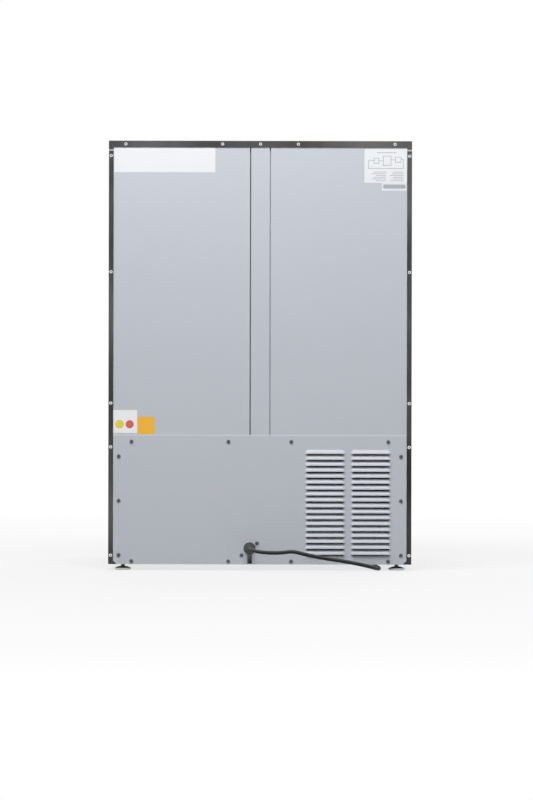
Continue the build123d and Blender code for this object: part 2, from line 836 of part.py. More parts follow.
# Drip tray: it sits on the compressor, whose heat dries the defrost water
tray_size = (190.0, 130.0)
tray_height = 32.0
tray_wall = 2.0
with BuildPart() as drip_tray:
    for inset, mode in ((0.0, Mode.ADD), (tray_wall, Mode.SUBTRACT)):
        with BuildSketch(Plane.XY.offset(crown_z + inset)):
            with Locations((compressor_x, compressor_y)):
                RectangleRounded(tray_size[0] - 2 * inset, tray_size[1] - 2 * inset, 14.0 - inset)
        extrude(amount=tray_height, taper=-6, mode=mode)
    block((-half, half), (front, back), (crown_z + tray_height, machine_top), mode=Mode.SUBTRACT)
save(drip_tray, "drip_tray")

# Condenser: a finned block on the base pan, in front of its fan
condenser_x = louvre_middle
condenser_width = 170.0
condenser_height = 190.0
condenser_depth = 44.0
condenser_back = back - 96.0
with BuildPart() as condenser:
    wide = (condenser_x - condenser_width / 2, condenser_x + condenser_width / 2)
    block(wide, (condenser_back - condenser_depth, condenser_back), (pan_top, pan_top + condenser_height))
    for side, x in ((-1, wide[0]), (1, wide[1])):
        with BuildSketch(Plane.YZ.offset(x)):
            with Locations((condenser_back - condenser_depth / 2, pan_top + condenser_height / 2)):
                with GridLocations(1.0, 26.0, 1, 7):
                    SlotOverall(22.0, 7.0)
        extrude(amount=side * 10.0)
save(condenser, "condenser")

# Fan shroud: a plate with a ring, standing on the base pan, that holds the motor behind its fan
shroud_depth = 40.0
shroud_back = condenser_back + shroud_depth
fan_centre_z = pan_top + condenser_height / 2
condenser_fan_reach = 70.0
ring_inner = condenser_fan_reach + 3.0
shroud_motor_height = 22.0
shroud_fan_height = 20.0
with BuildPart() as fan_shroud:
    with BuildSketch(facing_back(condenser_back + 2.0)):
        with Locations((condenser_x, fan_centre_z)):
            RectangleRounded(condenser_width, condenser_height, 6.0)
            Circle(ring_inner, mode=Mode.SUBTRACT)
    extrude(amount=2.0)
    with BuildSketch(facing_back(shroud_back)):
        with Locations((condenser_x, fan_centre_z)):
            Circle(ring_inner + 2.0)
            Circle(ring_inner, mode=Mode.SUBTRACT)
    extrude(amount=shroud_depth - 2.0)
    with BuildSketch(facing_back(shroud_back)):
        with Locations((condenser_x, fan_centre_z)):
            with PolarLocations(0, 2):
                Rectangle(2 * ring_inner + 2.0, 9.0)
            Rectangle(9.0, 2 * ring_inner + 2.0)
            Circle(motor_radius)
    extrude(amount=4.0)
    with BuildSketch(facing_back(shroud_back)):
        with Locations((condenser_x, fan_centre_z)):
            Circle(motor_radius)
    extrude(amount=-shroud_motor_height + 4.0)
    with BuildSketch(facing_back(shroud_back - 4.0)):
        with Locations((condenser_x, fan_centre_z)):
            Circle(shaft_radius)
    extrude(amount=shroud_fan_height - 4.0)
save(fan_shroud, "fan_shroud")

with BuildPart() as condenser_fan:
    axis_plane = Plane(
        (condenser_x, shroud_back - 4.0 - fan_gap, fan_centre_z), x_dir=(1, 0, 0), z_dir=(0, -1, 0)
    )
    wheel = fan_wheel(18.0, condenser_fan_reach, shroud_fan_height, 4, shaft_radius + shaft_clearance)
    add(axis_plane.from_local_coords(wheel))
save(condenser_fan, "condenser_fan")

# Filter drier, clipped to the wall in front of it, and the refrigerant lines that meet it
line_radius = 3.0
drier_radius = 10.0
drier_x = 20.0
drier_y = machine_front + drier_radius + seam
drier_low = pan_top + 70.0
drier_high = drier_low + 110.0
with BuildPart() as filter_drier:
    with BuildSketch(Plane.XY.offset(drier_low)):
        with Locations((drier_x, drier_y)):
            Circle(drier_radius)
    extrude(amount=drier_high - drier_low)
    fillet(filter_drier.edges().filter_by(GeomType.CIRCLE), 4.0)
save(filter_drier, "filter_drier")


def pipe(points, bend, radius):
    """A round tube along straight runs joined by tangent bends."""
    with BuildPart(mode=Mode.PRIVATE) as tube:
        with BuildLine() as path:
            FilletPolyline(*points, radius=bend)
        with BuildSketch(path.line ^ 0):
            Circle(radius)
        sweep()
    return tube.part


with BuildPart() as refrigerant_lines:
    bend_top = wide[1] + 10.0
    line_y = condenser_back - condenser_depth / 2
    top_bend_z = pan_top + condenser_height / 2 + 78.0
    low_bend_z = pan_top + condenser_height / 2 - 78.0
    shell_side = compressor_x - compressor_radius + 4.0
    discharge_z = plate_z + 100.0
    add(
        pipe(
            [
                (bend_top, line_y, top_bend_z),
                (bend_top + 30.0, line_y, top_bend_z),
                (bend_top + 70.0, compressor_y, discharge_z),
                (shell_side + 4.0, compressor_y, discharge_z),
            ],
            10.0,
            line_radius,
        )
    )
    add(
        pipe(
            [
                (bend_top, line_y, low_bend_z),
                (drier_x, line_y, low_bend_z),
                (drier_x, drier_y, low_bend_z),
                (drier_x, drier_y, drier_low),
            ],
            12.0,
            line_radius,
        )
    )
    add(
        pipe(
            [
                (drier_x, drier_y, drier_high),
                (drier_x, drier_y, drier_high + 30.0),
                (drier_x + 40.0, drier_y, drier_high + 50.0),
                (drier_x + 40.0, drier_y, machine_top),
            ],
            8.0,
            line_radius,
        )
    )
    add(compressor.part, mode=Mode.SUBTRACT)
save(refrigerant_lines, "refrigerant_lines")

# Hinges: a bracket with a pin above the door and another below it, on one vertical axis
hinge_x = half - hinge_side
hinge_y = door_back - hinge_set_back
pin_radius = pin_diameter / 2
bush_radius = pin_radius + bush_wall
top_plate_z = door_high + bush_collar + 0.4
low_plate_z = door_low - bush_collar - 0.4
bracket_half = 15.0
top_leg_low = panel_high + seam + 1.0
hinge_screw_x = (hinge_x - 44.0, hinge_x - 20.0)
with BuildPart() as hinge_top:
    with BuildSketch(Plane.XY.offset(top_plate_z)):
        with BuildLine():
            Polyline(
                (hinge_x - 56.0, front),
                (hinge_x - 56.0, front - 5.0),
                (hinge_x - bracket_half, hinge_y),
            )
            ThreePointArc(
                (hinge_x - bracket_half, hinge_y),
                (hinge_x - 6.0, hinge_y - 11.0),
                (hinge_x + 10.0, hinge_y - 6.0),
            )
            Polyline((hinge_x + 10.0, hinge_y - 6.0), (hinge_x + 10.0, front), (hinge_x - 56.0, front))
        make_face()
    extrude(amount=hinge_plate)
    block((hinge_x - 56.0, hinge_x + 10.0), (front - 3.0, front), (top_leg_low, top_plate_z))
    with BuildSketch(Plane.XY.offset(top_plate_z)):
        with Locations((hinge_x, hinge_y)):
            Circle(pin_radius)
    extrude(amount=-pin_length)
save(hinge_top, "hinge_top")

lip_z = toe_top - sheet
low_plate_top = min(low_plate_z, lip_z)
with BuildPart() as hinge_bottom:
    with BuildSketch(Plane.XY.offset(low_plate_top)):
        with BuildLine():
            Polyline(
                (hinge_x - 56.0, front + toe_recess - 1.0),
                (hinge_x - 56.0, front - 5.0),
                (hinge_x - bracket_half, hinge_y),
            )
            ThreePointArc(
                (hinge_x - bracket_half, hinge_y),
                (hinge_x - 6.0, hinge_y - 11.0),
                (hinge_x + 10.0, hinge_y - 6.0),
            )
            Polyline(
                (hinge_x + 10.0, hinge_y - 6.0),
                (hinge_x + 10.0, front + toe_recess - 1.0),
                (hinge_x - 56.0, front + toe_recess - 1.0),
            )
        make_face()
    extrude(amount=-hinge_plate)
    with BuildSketch(Plane.XY.offset(low_plate_top)):
        with Locations((hinge_x, hinge_y)):
            Circle(pin_radius)
    extrude(amount=pin_length)
save(hinge_bottom, "hinge_bottom")

with BuildPart() as hinge_screws:
    leg_middle = (top_leg_low + top_plate_z) / 2
    with BuildSketch(facing_back(front - 3.0)):
        with Locations(*[(x, leg_middle) for x in hinge_screw_x]):
            Circle(3.2)
    extrude(amount=1.6, taper=15)
    with BuildSketch(Plane.XY.offset(low_plate_top - hinge_plate)):
        with Locations(*[(x, front + 12.0) for x in hinge_screw_x]):
            Circle(3.6)
    extrude(amount=-1.8, taper=15)
save(hinge_screws, "hinge_screws")

# Door skin: a formed shell, open behind, with a hem round the opening and holes for the bushes
door_hem = 9.0
bush_depth = pin_length - bush_collar + 2.0
with BuildPart() as door_skin_shell:
    door_size = (door_right - door_left, door_thickness)
    door_middle = (0, (door_face + door_back) / 2)
    with BuildSketch(Plane.XY.offset(door_low)) as outline:
        with Locations(door_middle):
            Rectangle(*door_size)
        fillet(outline.vertices().group_by(Axis.Y)[0], door_radius)
    extrude(amount=door_high - door_low)
    fillet(door_skin_shell.faces().sort_by(Axis.Y)[0].edges().filter_by(Axis.X), door_radius * 0.8)
    with BuildSketch(Plane.XY.offset(door_low + door_skin)) as core:
        with Locations(door_middle):
            Rectangle(door_size[0] - 2 * door_skin, door_size[1] - 2 * door_skin)
        fillet(core.vertices().group_by(Axis.Y)[0], door_radius - door_skin)
    extrude(amount=door_high - door_low - 2 * door_skin, mode=Mode.SUBTRACT)
    block(
        (door_left + door_hem, door_right - door_hem),
        (door_back - 2 * door_skin, door_back + 1.0),
        (door_low + door_hem, door_high - door_hem),
        mode=Mode.SUBTRACT,
    )
    with BuildSketch(Plane.XY.offset(door_low)):
        with Locations((hinge_x, hinge_y)):
            Circle(bush_radius)
    extrude(amount=door_high - door_low, mode=Mode.SUBTRACT)
save(door_skin_shell, "door_panel")

with BuildPart() as door_foam:
    with BuildSketch(Plane.XY.offset(door_low + door_skin)) as core:
        with Locations(door_middle):
            Rectangle(door_size[0] - 2 * door_skin, door_size[1] - 2 * door_skin)
        fillet(core.vertices().group_by(Axis.Y)[0], door_radius - door_skin)
    extrude(amount=door_high - door_low - 2 * door_skin)
    block(
        (door_left, door_right),
        (door_back - door_liner_skin, door_back),
        (door_low, door_high),
        mode=Mode.SUBTRACT,
    )
    for z in (door_low, door_high - bush_depth):
        with BuildSketch(Plane.XY.offset(z)):
            with Locations((hinge_x, hinge_y)):
                Circle(bush_radius)
        extrude(amount=bush_depth, mode=Mode.SUBTRACT)
save(door_foam, "door_foam")

with BuildPart() as hinge_bushes:
    for end, inward in ((door_low, 1), (door_high, -1)):
        with BuildSketch(Plane.XY.offset(end)):
            with Locations((hinge_x, hinge_y)):
                Circle(bush_radius)
        extrude(amount=inward * bush_depth)
        with BuildSketch(Plane.XY.offset(end)):
            with Locations((hinge_x, hinge_y)):
                Circle(bush_radius + 2.0)
        extrude(amount=-inward * bush_collar)
        with BuildSketch(Plane.XY.offset(end - inward * bush_collar)):
            with Locations((hinge_x, hinge_y)):
                Circle(pin_radius + pin_clearance)
        extrude(amount=inward * (bush_depth + bush_collar), mode=Mode.SUBTRACT)
save(hinge_bushes, "hinge_bushes")

# Door liner: a moulded sheet with a raised rim and the pegs that the racks hang on
dyke_half = cavity_half - 19.5
dyke_low = cavity_floor + 12.0
dyke_high = cavity_top - 12.0
dyke_inner = dyke_half - dyke_width
rack_levels = (190.0, 470.0)
rack_height = 78.0
rack_depth = 76.0
rack_wall = 2.5
rack_side_gap = 2.0
peg_diameter = 9.0
peg_above = 46.0
peg_y = door_back + 13.0
with BuildPart() as door_liner:
    with BuildSketch(facing_back(door_back)):
        with Locations((0, (door_low + door_high) / 2)):
            Rectangle(
                door_right - door_left - 2 * door_hem - 2 * seam,
                door_high - door_low - 2 * door_hem - 2 * seam,
            )
    extrude(amount=door_liner_skin)
    with BuildSketch(facing_back(door_back)):
        with Locations((0, (dyke_low + dyke_high) / 2)):
            RectangleRounded(2 * dyke_half, dyke_high - dyke_low, 20.0)
            RectangleRounded(
                2 * dyke_inner, dyke_high - dyke_low - 2 * dyke_width, 8.0, mode=Mode.SUBTRACT
            )
    extrude(amount=-dyke_height, taper=5)
    fillet(door_liner.faces().sort_by(Axis.Y)[-1].edges(), 4.0)
    for level in rack_levels:
        for side in (-1, 1):
            with BuildSketch(Plane.YZ.offset(side * (dyke_inner + 6.0))):
                with Locations((peg_y, level + peg_above)):
                    Circle(peg_diameter / 2)
            extrude(amount=-side * (6.0 + rack_side_gap + rack_wall + 1.0))
save(door_liner, "door_liner")

# Gasket: a soft frame on the door liner that seals against the front frame
gasket_out = 24.0
gasket_in = 7.0
gasket_clear = 0.3
with BuildPart() as door_gasket:
    with BuildSketch(facing_back(front - gasket_clear)):
        with Locations((0, (cavity_floor + cavity_top) / 2)):
            RectangleRounded(
                2 * (cavity_half + gasket_out), cavity_top - cavity_floor + 2 * gasket_out, 10.0
            )
            RectangleRounded(
                2 * (cavity_half + gasket_in),
                cavity_top - cavity_floor + 2 * gasket_in,
                6.0,
                mode=Mode.SUBTRACT,
            )
    extrude(amount=door_gap - gasket_clear)
    ridge = door_gasket.faces().sort_by(Axis.Y)[-1].edges()
    fillet(ridge, 2.0)
save(door_gasket, "door_gasket")

# Handle: a round bar on two posts whose ends are cut to fit it
bar_radius = bar_diameter / 2
bar_x = door_left + handle_side
bar_y = door_face - handle_standoff + bar_radius
bar_middle = (door_low + door_high) / 2 + 60.0
with BuildPart() as handle_bar:
    with BuildSketch(Plane.XY.offset(bar_middle - handle_length / 2)):
        with Locations((bar_x, bar_y)):
            Circle(bar_radius)
    extrude(amount=handle_length)
    fillet(handle_bar.edges().filter_by(GeomType.CIRCLE), 2.0)
save(handle_bar, "handle_bar")

post_spread = handle_length / 2 - post_inset
with BuildPart() as handle_posts:
    with BuildSketch(facing_back(door_face)):
        with Locations(*[(bar_x, bar_middle + side * post_spread) for side in (-1, 1)]):
            Circle(post_diameter / 2)
    extrude(amount=door_face - bar_y)
    with BuildSketch(Plane.XY.offset(bar_middle - handle_length / 2)):
        with Locations((bar_x, bar_y)):
            Circle(bar_radius)
    extrude(amount=handle_length, mode=Mode.SUBTRACT)
save(handle_posts, "handle_posts")

# Door racks: open bins that hang on the liner's pegs and lift off
rack_half = dyke_inner - rack_side_gap
rack_back = door_back + 1.0
for name, level in zip(("lower", "upper"), rack_levels):
    with BuildPart() as rack:
        for inset, mode in ((0.0, Mode.ADD), (rack_wall, Mode.SUBTRACT)):
            with BuildSketch(Plane.XY.offset(level + inset)) as plan:
                with Locations((0, rack_back + rack_depth / 2)):
                    Rectangle(2 * (rack_half - inset), rack_depth - 2 * inset)
                fillet(plan.vertices().group_by(Axis.Y)[-1], 16.0 - inset)
            extrude(amount=rack_height, mode=mode)
        for side in (-1, 1):
            with BuildSketch(Plane.YZ.offset(side * (rack_half - rack_wall - 2.0))):
                with Locations((peg_y, level + (peg_above - rack_height) / 2)):
                    SlotOverall(
                        peg_above + rack_height + peg_diameter + 0.1,
                        peg_diameter + 0.6,
                        rotation=90,
                    )
            extrude(amount=side * (rack_wall + 4.0), mode=Mode.SUBTRACT)
    save(rack, f"door_rack_{name}")

# Grommet: a flanged bush in the keyhole with a ribbed, tapered sleeve round the cord
neck_radius = grommet_flange / 2 - 2.0 - 0.1
cord_radius = cord_diameter / 2
ribs = 4
rib_pitch = (snout_length - 5.0) / ribs
with BuildPart() as cord_grommet:
    with BuildSketch(Plane.XY.offset(exit_z)):
        with BuildLine():
            outline_points = [
                (0, -3.0),
                (grommet_flange / 2, -3.0),
                (grommet_flange / 2, -sheet),
                (neck_radius, -sheet),
                (neck_radius, 0),
                (grommet_flange / 2, 0),
                (grommet_flange / 2 - 0.6, 2.2),
                (8.2, 2.8),
            ]
            for rib in range(ribs):
                root_y = 4.0 + rib * rib_pitch
                radius = 7.8 - 0.7 * rib
                outline_points += [
                    (radius, root_y),
                    (radius, root_y + 0.55 * rib_pitch),
                    (radius - 1.1, root_y + 0.6 * rib_pitch),
                    (radius - 1.1, root_y + 0.95 * rib_pitch),
                ]
            outline_points += [(cord_radius + 0.9, snout_length), (0, snout_length)]
            Polyline(*[(exit_x + r, back + y) for r, y in outline_points], close=True)
        make_face()
    revolve(axis=Axis((exit_x, 0, exit_z), (0, 1, 0)))
save(cord_grommet, "cord_grommet")

# Supply cord: route points from the grommet, beside and under the cabinet, to the coil
cord_floor = cord_radius + 0.05
coil_x = -50.0
coil_y = front - 33.0
coil_gap = 0.5
layer_step = cord_diameter + coil_gap
coil_first = 46.0
cord_route = [
    (exit_x, back + snout_length, exit_z),
    (exit_x, back + 54.0, exit_z),
    (exit_x - 24.0, back + 79.0, exit_z - 6.5),
    (exit_x - 63.0, back + 84.0, exit_z - 7.5),
    (exit_x - 104.0, back + 79.0, exit_z - 12.0),
    (exit_x - 147.0, back + 75.0, exit_z - 19.0),
    (exit_x - 191.0, back + 66.0, exit_z - 27.0),
    (exit_x - 231.0, back + 45.0, exit_z - 35.5),
    (exit_x - 253.0, back + 10.0, cord_floor),
    (exit_x - 256.0, back - 36.0, cord_floor),
    (exit_x - 249.0, back - 100.0, cord_floor),
    (exit_x - 254.0, back - 180.0, cord_floor),
    (exit_x - 232.0, back - 262.0, cord_floor),
    (exit_x - 196.0, back - 336.0, cord_floor),
    (exit_x - 172.0, back - 412.0, cord_floor),
    (exit_x - 128.0, back - 470.0, cord_floor),
    (coil_x - coil_first, back - 522.0, cord_floor),
    (coil_x - coil_first, coil_y + cord_diameter, cord_floor),
]


def bend_radii(points):
    """The tangent arc at each inner point: 0.45 of the shorter run over the half turn's tangent."""
    corners = [Vector(*point) for point in points]
    radii = []
    for before, corner, after in zip(corners, corners[1:], corners[2:]):
        run_in, run_out = corner - before, after - corner
        half_turn = math.radians(run_in.get_angle(run_out)) / 2
        radii.append(0.45 * min(run_in.length, run_out.length) / math.tan(half_turn))
    return radii


cord_bends = bend_radii(cord_route)
with BuildPart() as power_cord:
    with BuildLine() as cord_path:
        FilletPolyline(*cord_route, radius=cord_bends)
    with BuildSketch(Plane(cord_route[0], x_dir=(1, 0, 0), z_dir=cord_path.line % 0)):
        Circle(cord_radius)
    sweep()
save(power_cord, "power_cord")

# Coil: one unbroken lead wound in two layers, in on the floor and out again on top
coil_inner = coil_first - 9.6
coil_crossings = [-coil_first, coil_first - 4.0, -coil_inner]
coil_crossings += [coil_inner, -(coil_first - 4.0), coil_first, -(coil_first + 4.0)]
layer_low = cord_floor
layer_high = cord_floor + layer_step
climb_turn = 2
with BuildPart() as power_cord_coil:
    with BuildLine() as coil_path:
        start = Vector(coil_x + coil_crossings[0], coil_y + cord_diameter, layer_low)
        Line(start, start - Vector(0, cord_diameter, 0))
        for turn, (here, there) in enumerate(zip(coil_crossings, coil_crossings[1:])):
            z_here = layer_low if turn <= climb_turn else layer_high
            z_there = layer_low if turn < climb_turn else layer_high
            bow = -1 if turn % 2 == 0 else 1
            ThreePointArc(
                (coil_x + here, coil_y, z_here),
                (
                    coil_x + (here + there) / 2,
                    coil_y + bow * math.dist((here, z_here), (there, z_there)) / 2,
                    (z_here + z_there) / 2,
                ),
                (coil_x + there, coil_y, z_there),
            )
        leave_radius = 40.0
        leave_x = coil_x + coil_crossings[-1]
        ThreePointArc(
            (leave_x, coil_y, layer_high),
            (
                leave_x - leave_radius * (1 - math.cos(math.pi / 4)),
                coil_y - leave_radius * math.sin(math.pi / 4),
                layer_high,
            ),
            (leave_x - leave_radius, coil_y - leave_radius, layer_high),
        )
        coil_end = Vector(leave_x - leave_radius - cord_diameter, coil_y - leave_radius, layer_high)
        Line((leave_x - leave_radius, coil_y - leave_radius, layer_high), coil_end)
    with BuildSketch(Plane(start, x_dir=(1, 0, 0), z_dir=(0, -1, 0))):
        Circle(cord_radius)
    sweep()
save(power_cord_coil, "power_cord_coil")

# Plug: a moulded body with a tapered sleeve, two flat blades and an earth pin
plug_length = 34.0
plug_half = (layer_high - 0.3, 13.0)
plug_corner = 7.0
plug_drawn_in = (4.0, 5.0)
plug_sleeve = 24.0
sleeve_wall = 1.4
sleeve_radius = 8.0
blade = (1.5, 6.3)
blade_length = 17.0
blade_pitch = 12.7
blade_rise = 3.0
pin_radius = 2.4
pin_length = 20.0
pin_drop = 5.5
with BuildPart() as power_plug:
    sleeve_plane = Plane(coil_end, x_dir=(0, 1, 0), z_dir=(-1, 0, 0))
    with BuildSketch(sleeve_plane):
        Circle(cord_radius + sleeve_wall)
    with BuildSketch(sleeve_plane.offset(plug_sleeve)):
        Circle(sleeve_radius)
    loft()
    with BuildSketch(sleeve_plane.offset(plug_sleeve)):
        RectangleRounded(
            2 * plug_half[1] - plug_drawn_in[1], 2 * plug_half[0] - plug_drawn_in[0], plug_corner
        )
    with BuildSketch(sleeve_plane.offset(plug_sleeve + plug_length)):
        RectangleRounded(2 * plug_half[1], 2 * plug_half[0], plug_corner)
    loft()
    with BuildSketch(sleeve_plane.offset(plug_sleeve + plug_length)):
        with Locations((-blade_pitch / 2, -blade_rise), (blade_pitch / 2, -blade_rise)):
            Rectangle(*blade)
    extrude(amount=blade_length)
    with BuildSketch(sleeve_plane.offset(plug_sleeve + plug_length)):
        with Locations((0, pin_drop)):
            Circle(pin_radius)
    extrude(amount=pin_length)
save(power_plug, "power_plug")


def least_self_gap(path, apart):
    """Least clear space between stretches of a tube that lie further apart along it than apart."""
    steps = int(path.length / 2.0)
    points = [path @ (step / steps) for step in range(steps + 1)]
    spacing = path.length / steps
    gap = min(
        (points[j] - points[i]).length
        for i in range(len(points))
        for j in range(i + int(apart / spacing), len(points))
    )
    return gap - cord_diameter


cord_section = math.pi * cord_radius**2
print("cord radii", [round(radius, 1) for radius in cord_bends])
coil_wire = Wire(coil_path.edges())
for piece, path in ((power_cord, Wire(cord_path.edges())), (power_cord_coil, coil_wire)):
    swept = piece.part.volume / cord_section
    print("tube length", round(path.length, 1), "volume over section", round(swept, 1))
print("coil self gap", round(least_self_gap(coil_wire, 60.0), 2))
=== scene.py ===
import math

import bmesh
import bpy
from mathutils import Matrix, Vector


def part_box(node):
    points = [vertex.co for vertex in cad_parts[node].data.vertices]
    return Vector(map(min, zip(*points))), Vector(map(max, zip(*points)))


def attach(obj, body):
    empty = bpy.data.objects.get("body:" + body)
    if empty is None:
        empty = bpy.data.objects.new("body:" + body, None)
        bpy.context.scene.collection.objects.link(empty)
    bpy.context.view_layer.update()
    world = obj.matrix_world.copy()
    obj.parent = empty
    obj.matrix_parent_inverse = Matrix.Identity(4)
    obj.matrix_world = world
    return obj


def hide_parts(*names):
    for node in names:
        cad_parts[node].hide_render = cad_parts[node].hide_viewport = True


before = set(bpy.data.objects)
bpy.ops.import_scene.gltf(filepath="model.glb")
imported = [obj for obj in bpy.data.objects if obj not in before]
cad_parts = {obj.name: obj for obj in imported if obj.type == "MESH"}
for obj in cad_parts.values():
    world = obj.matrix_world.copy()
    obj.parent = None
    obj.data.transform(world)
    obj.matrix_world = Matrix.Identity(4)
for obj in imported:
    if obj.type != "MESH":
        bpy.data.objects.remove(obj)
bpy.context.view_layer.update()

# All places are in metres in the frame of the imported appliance: the door faces -Y, the service
# side with the louvres faces +Y, and the floor is at Z = 0. BACK is the rear face of the casing's
# flanges, and PANEL_FACE that of the grey sheets between them.
casing_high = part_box("top_cover")[1]
pan_low, pan_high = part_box("base_pan")
BACK, BODY_TOP = casing_high.y, casing_high.z
PANEL_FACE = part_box("back_panel_left")[1].y
COVER_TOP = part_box("service_cover")[1].z

# Where a finish changes within one piece: the painted reflection on the casing's rear flanges and the
# painted highlight at the joint below its top cover, the painted shade on the floor of the channel's
# groove at +X, the painted light on the cover's hoods and the painted highlight on its upper edge, the
# painted shade on the foam's rear face, the tape on the pan, which is also painted shade, the stud
# above a foot's pad, and the blades beyond the plug's face.
FLANGE_FROM_Y = BACK - 0.0012
JOINT_Z = BODY_TOP - 0.0184
GROOVE_FLOOR_Y = PANEL_FACE - 0.0034
SHADED_GROOVE_FROM_X = 0.010
HOOD_FROM_Y, HOOD_FULL_Y = BACK + 0.0012, BACK + 0.0040
EDGE_HIGHLIGHT_FROM_Z = COVER_TOP - 0.0016
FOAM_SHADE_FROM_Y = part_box("cabinet_foam")[1].y - 0.0015
TAPE_FROM_Y, TAPE_TO_Y, TAPE_FROM_Z = pan_high.y - 0.0085, pan_low.y + 0.0015, pan_low.z + 0.0105
FOOT_PAD_TOP = 0.0068
PLUG_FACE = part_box("power_plug")[0].x + 0.0198

# Pitch of the feet's thread, and of the fins of both coils along X.
THREAD_PITCH = 0.00125
CONDENSER_FIN_PITCH, EVAPORATOR_FIN_PITCH = 0.0024, 0.0050

# Heads of the screws on the rear, as (X, Z).
CASING_SCREWS = [(side * 0.29275, z) for side in (-1, 1) for z in (0.0295, 0.242, 0.328, 0.5855, 0.8135)]
CASING_SCREWS += [(x, 0.8366) for x in (-0.264, -0.0743, 0.0, 0.0743, 0.264)]
COVER_SCREWS = [(side * 0.277, z) for side in (-1, 1) for z in (0.030, 0.1366, 0.2235)]
COVER_SCREWS += [(x, z) for x in (-0.252, -0.0616, 0.0616, 0.252) for z in (0.018, 0.2524)]
COVER_SCREWS += [(0.0053, 0.0534), (0.0357, 0.0299)]

# Radius and height of both kinds of head, then the dome and the cross recess as shares of them.
# Each head is turned by HEAD_TURN radians from the one before it.
CASING_HEAD, COVER_HEAD = (0.0033, 0.0016), (0.0038, 0.0018)
HEAD_DOME = ((1.0, 0.0), (1.0, 0.22), (0.93, 0.55), (0.74, 0.85), (0.46, 1.0))
RECESS_ARM, RECESS_WAIST, RECESS_LEVEL = 0.40, 0.17, 0.42
HEAD_SIDES = 24
HEAD_TURN = 0.7

LABEL_THICKNESS = 0.00012
PRINT_THICKNESS = 0.00003
PRINT_LINE = 0.0008

# The camera stands square in front of the service side, a little below its middle.
CAMERA_X = -0.01275
CAMERA_Z = 0.3346
CAMERA_DISTANCE = 6.0
LONG_SIDE_M = 1.5696
CAMERA_ROLL_DEG = -0.12

# Each lamp's name, place, aim, width and depth, watts, and whether gloss mirrors it.
LAMPS = (
    ("box_over_service_side", (0.25, 1.30, 2.50), (0.0, 0.31, 0.85), (2.0, 0.8), 78.0, False),
    ("box_over_door_side", (-0.35, -2.10, 2.20), (0.0, -0.25, 0.45), (2.2, 1.4), 80.0, False),
    ("box_left", (2.6, 0.6, 1.1), (0.0, 0.0, 0.42), (1.6, 1.6), 5.0, True),
    ("box_right", (-2.6, 0.6, 1.1), (0.0, 0.0, 0.42), (1.6, 1.6), 5.0, True),
)

# The room's light on the appliance, where 1 is white, and the floor: half its width, and its share
# of plain white, which rises between two distances from the appliance.
ROOM_LIGHT = 0.11
FLOOR_REACH = 30.0
NEAR_DISTANCE, FAR_DISTANCE = 0.7, 2.6
NEAR_WHITE, FAR_WHITE = 0.74, 1.0

FLOAT, COLOUR, VECTOR = "NodeSocketFloat", "NodeSocketColor", "NodeSocketVector"

# Where a Mix node has its first value and its result, for each kind of value.
MIX_SOCKETS = {"FLOAT": (2, 0), "VECTOR": (4, 1), "RGBA": (6, 2)}

# How far in from an edge handling wears it.
WEAR_REACH = 0.0012

# Line scale square to a face: below the first the face is an end face, above the second it isn't.
END_FACE_SCALE, LONG_FACE_SCALE = 150.0, 450.0


def set_camera():
    """The camera at the photograph's viewing angle, whose long side takes in LONG_SIDE_M."""
    lens = bpy.data.cameras.new("service_side_camera")
    lens.sensor_width = 36.0
    lens.lens = lens.sensor_width * CAMERA_DISTANCE / LONG_SIDE_M
    lens.clip_end = 60.0
    camera = bpy.data.objects.new("service_side_camera", lens)
    camera.location = (CAMERA_X, BACK + CAMERA_DISTANCE, CAMERA_Z)
    camera.rotation_euler = (math.radians(90), math.radians(CAMERA_ROLL_DEG), math.radians(180))
    bpy.context.scene.collection.objects.link(camera)
    bpy.context.scene.camera = camera


# Shader nodes


def feed(tree, value, socket):
    """Gives an input socket its value: an output socket, a colour, a vector or a number."""
    if isinstance(value, bpy.types.NodeSocket):
        tree.links.new(value, socket)
    elif socket.type == "RGBA":
        socket.default_value = (*value, 1.0)
    else:
        socket.default_value = value


def math_node(tree, operation, *values):
    """A Math node fed with sockets or numbers; returns its output."""
    node = tree.nodes.new("ShaderNodeMath")
    node.operation = operation
    for value, socket in zip(values, node.inputs):
        feed(tree, value, socket)
    return node.outputs["Value"]


def vector_node(tree, operation, *values, output="Vector"):
    """A Vector Math node fed with sockets or vectors; returns the named output."""
    node = tree.nodes.new("ShaderNodeVectorMath")
    node.operation = operation
    for value, socket in zip(values, node.inputs):
        feed(tree, value, socket)
    return node.outputs[output]


def split_xyz(tree, vector):
    """The X, Y and Z of a vector as three outputs."""
    node = tree.nodes.new("ShaderNodeSeparateXYZ")
    feed(tree, vector, node.inputs["Vector"])
    return node.outputs["X"], node.outputs["Y"], node.outputs["Z"]


def noise_node(tree, vector, scale, detail=2.0, roughness=0.5):
    """Noise from 0 to 1 at a scale per metre; returns its value."""
    node = tree.nodes.new("ShaderNodeTexNoise")
    node.inputs["Detail"].default_value = detail
    node.inputs["Roughness"].default_value = roughness
    feed(tree, scale, node.inputs["Scale"])
    feed(tree, vector, node.inputs["Vector"])
    return node.outputs["Fac"]


def range_node(tree, value, low, high, to_low=0.0, to_high=1.0):
    """Value from the range low..high to the range to_low..to_high, clamped."""
    node = tree.nodes.new("ShaderNodeMapRange")
    node.inputs["From Min"].default_value = low
    node.inputs["From Max"].default_value = high
    node.inputs["To Min"].default_value = to_low
    node.inputs["To Max"].default_value = to_high
    feed(tree, value, node.inputs["Value"])
    return node.outputs["Result"]


def past(tree, place, edge, spread=0.0005):
    """A mask over a place along one axis: it rises from 0 at the edge to 1 at spread beyond it."""
    return range_node(tree, place, edge, edge + spread)


def mix_node(tree, share, first, second, kind="RGBA"):
    """A mix of two colours, vectors or numbers, each a socket or a constant, by a share."""
    node = tree.nodes.new("ShaderNodeMix")
    node.data_type = kind
    at, result = MIX_SOCKETS[kind]
    for value, index in ((share, 0), (first, at), (second, at + 1)):
        feed(tree, value, node.inputs[index])
    return node.outputs[result]


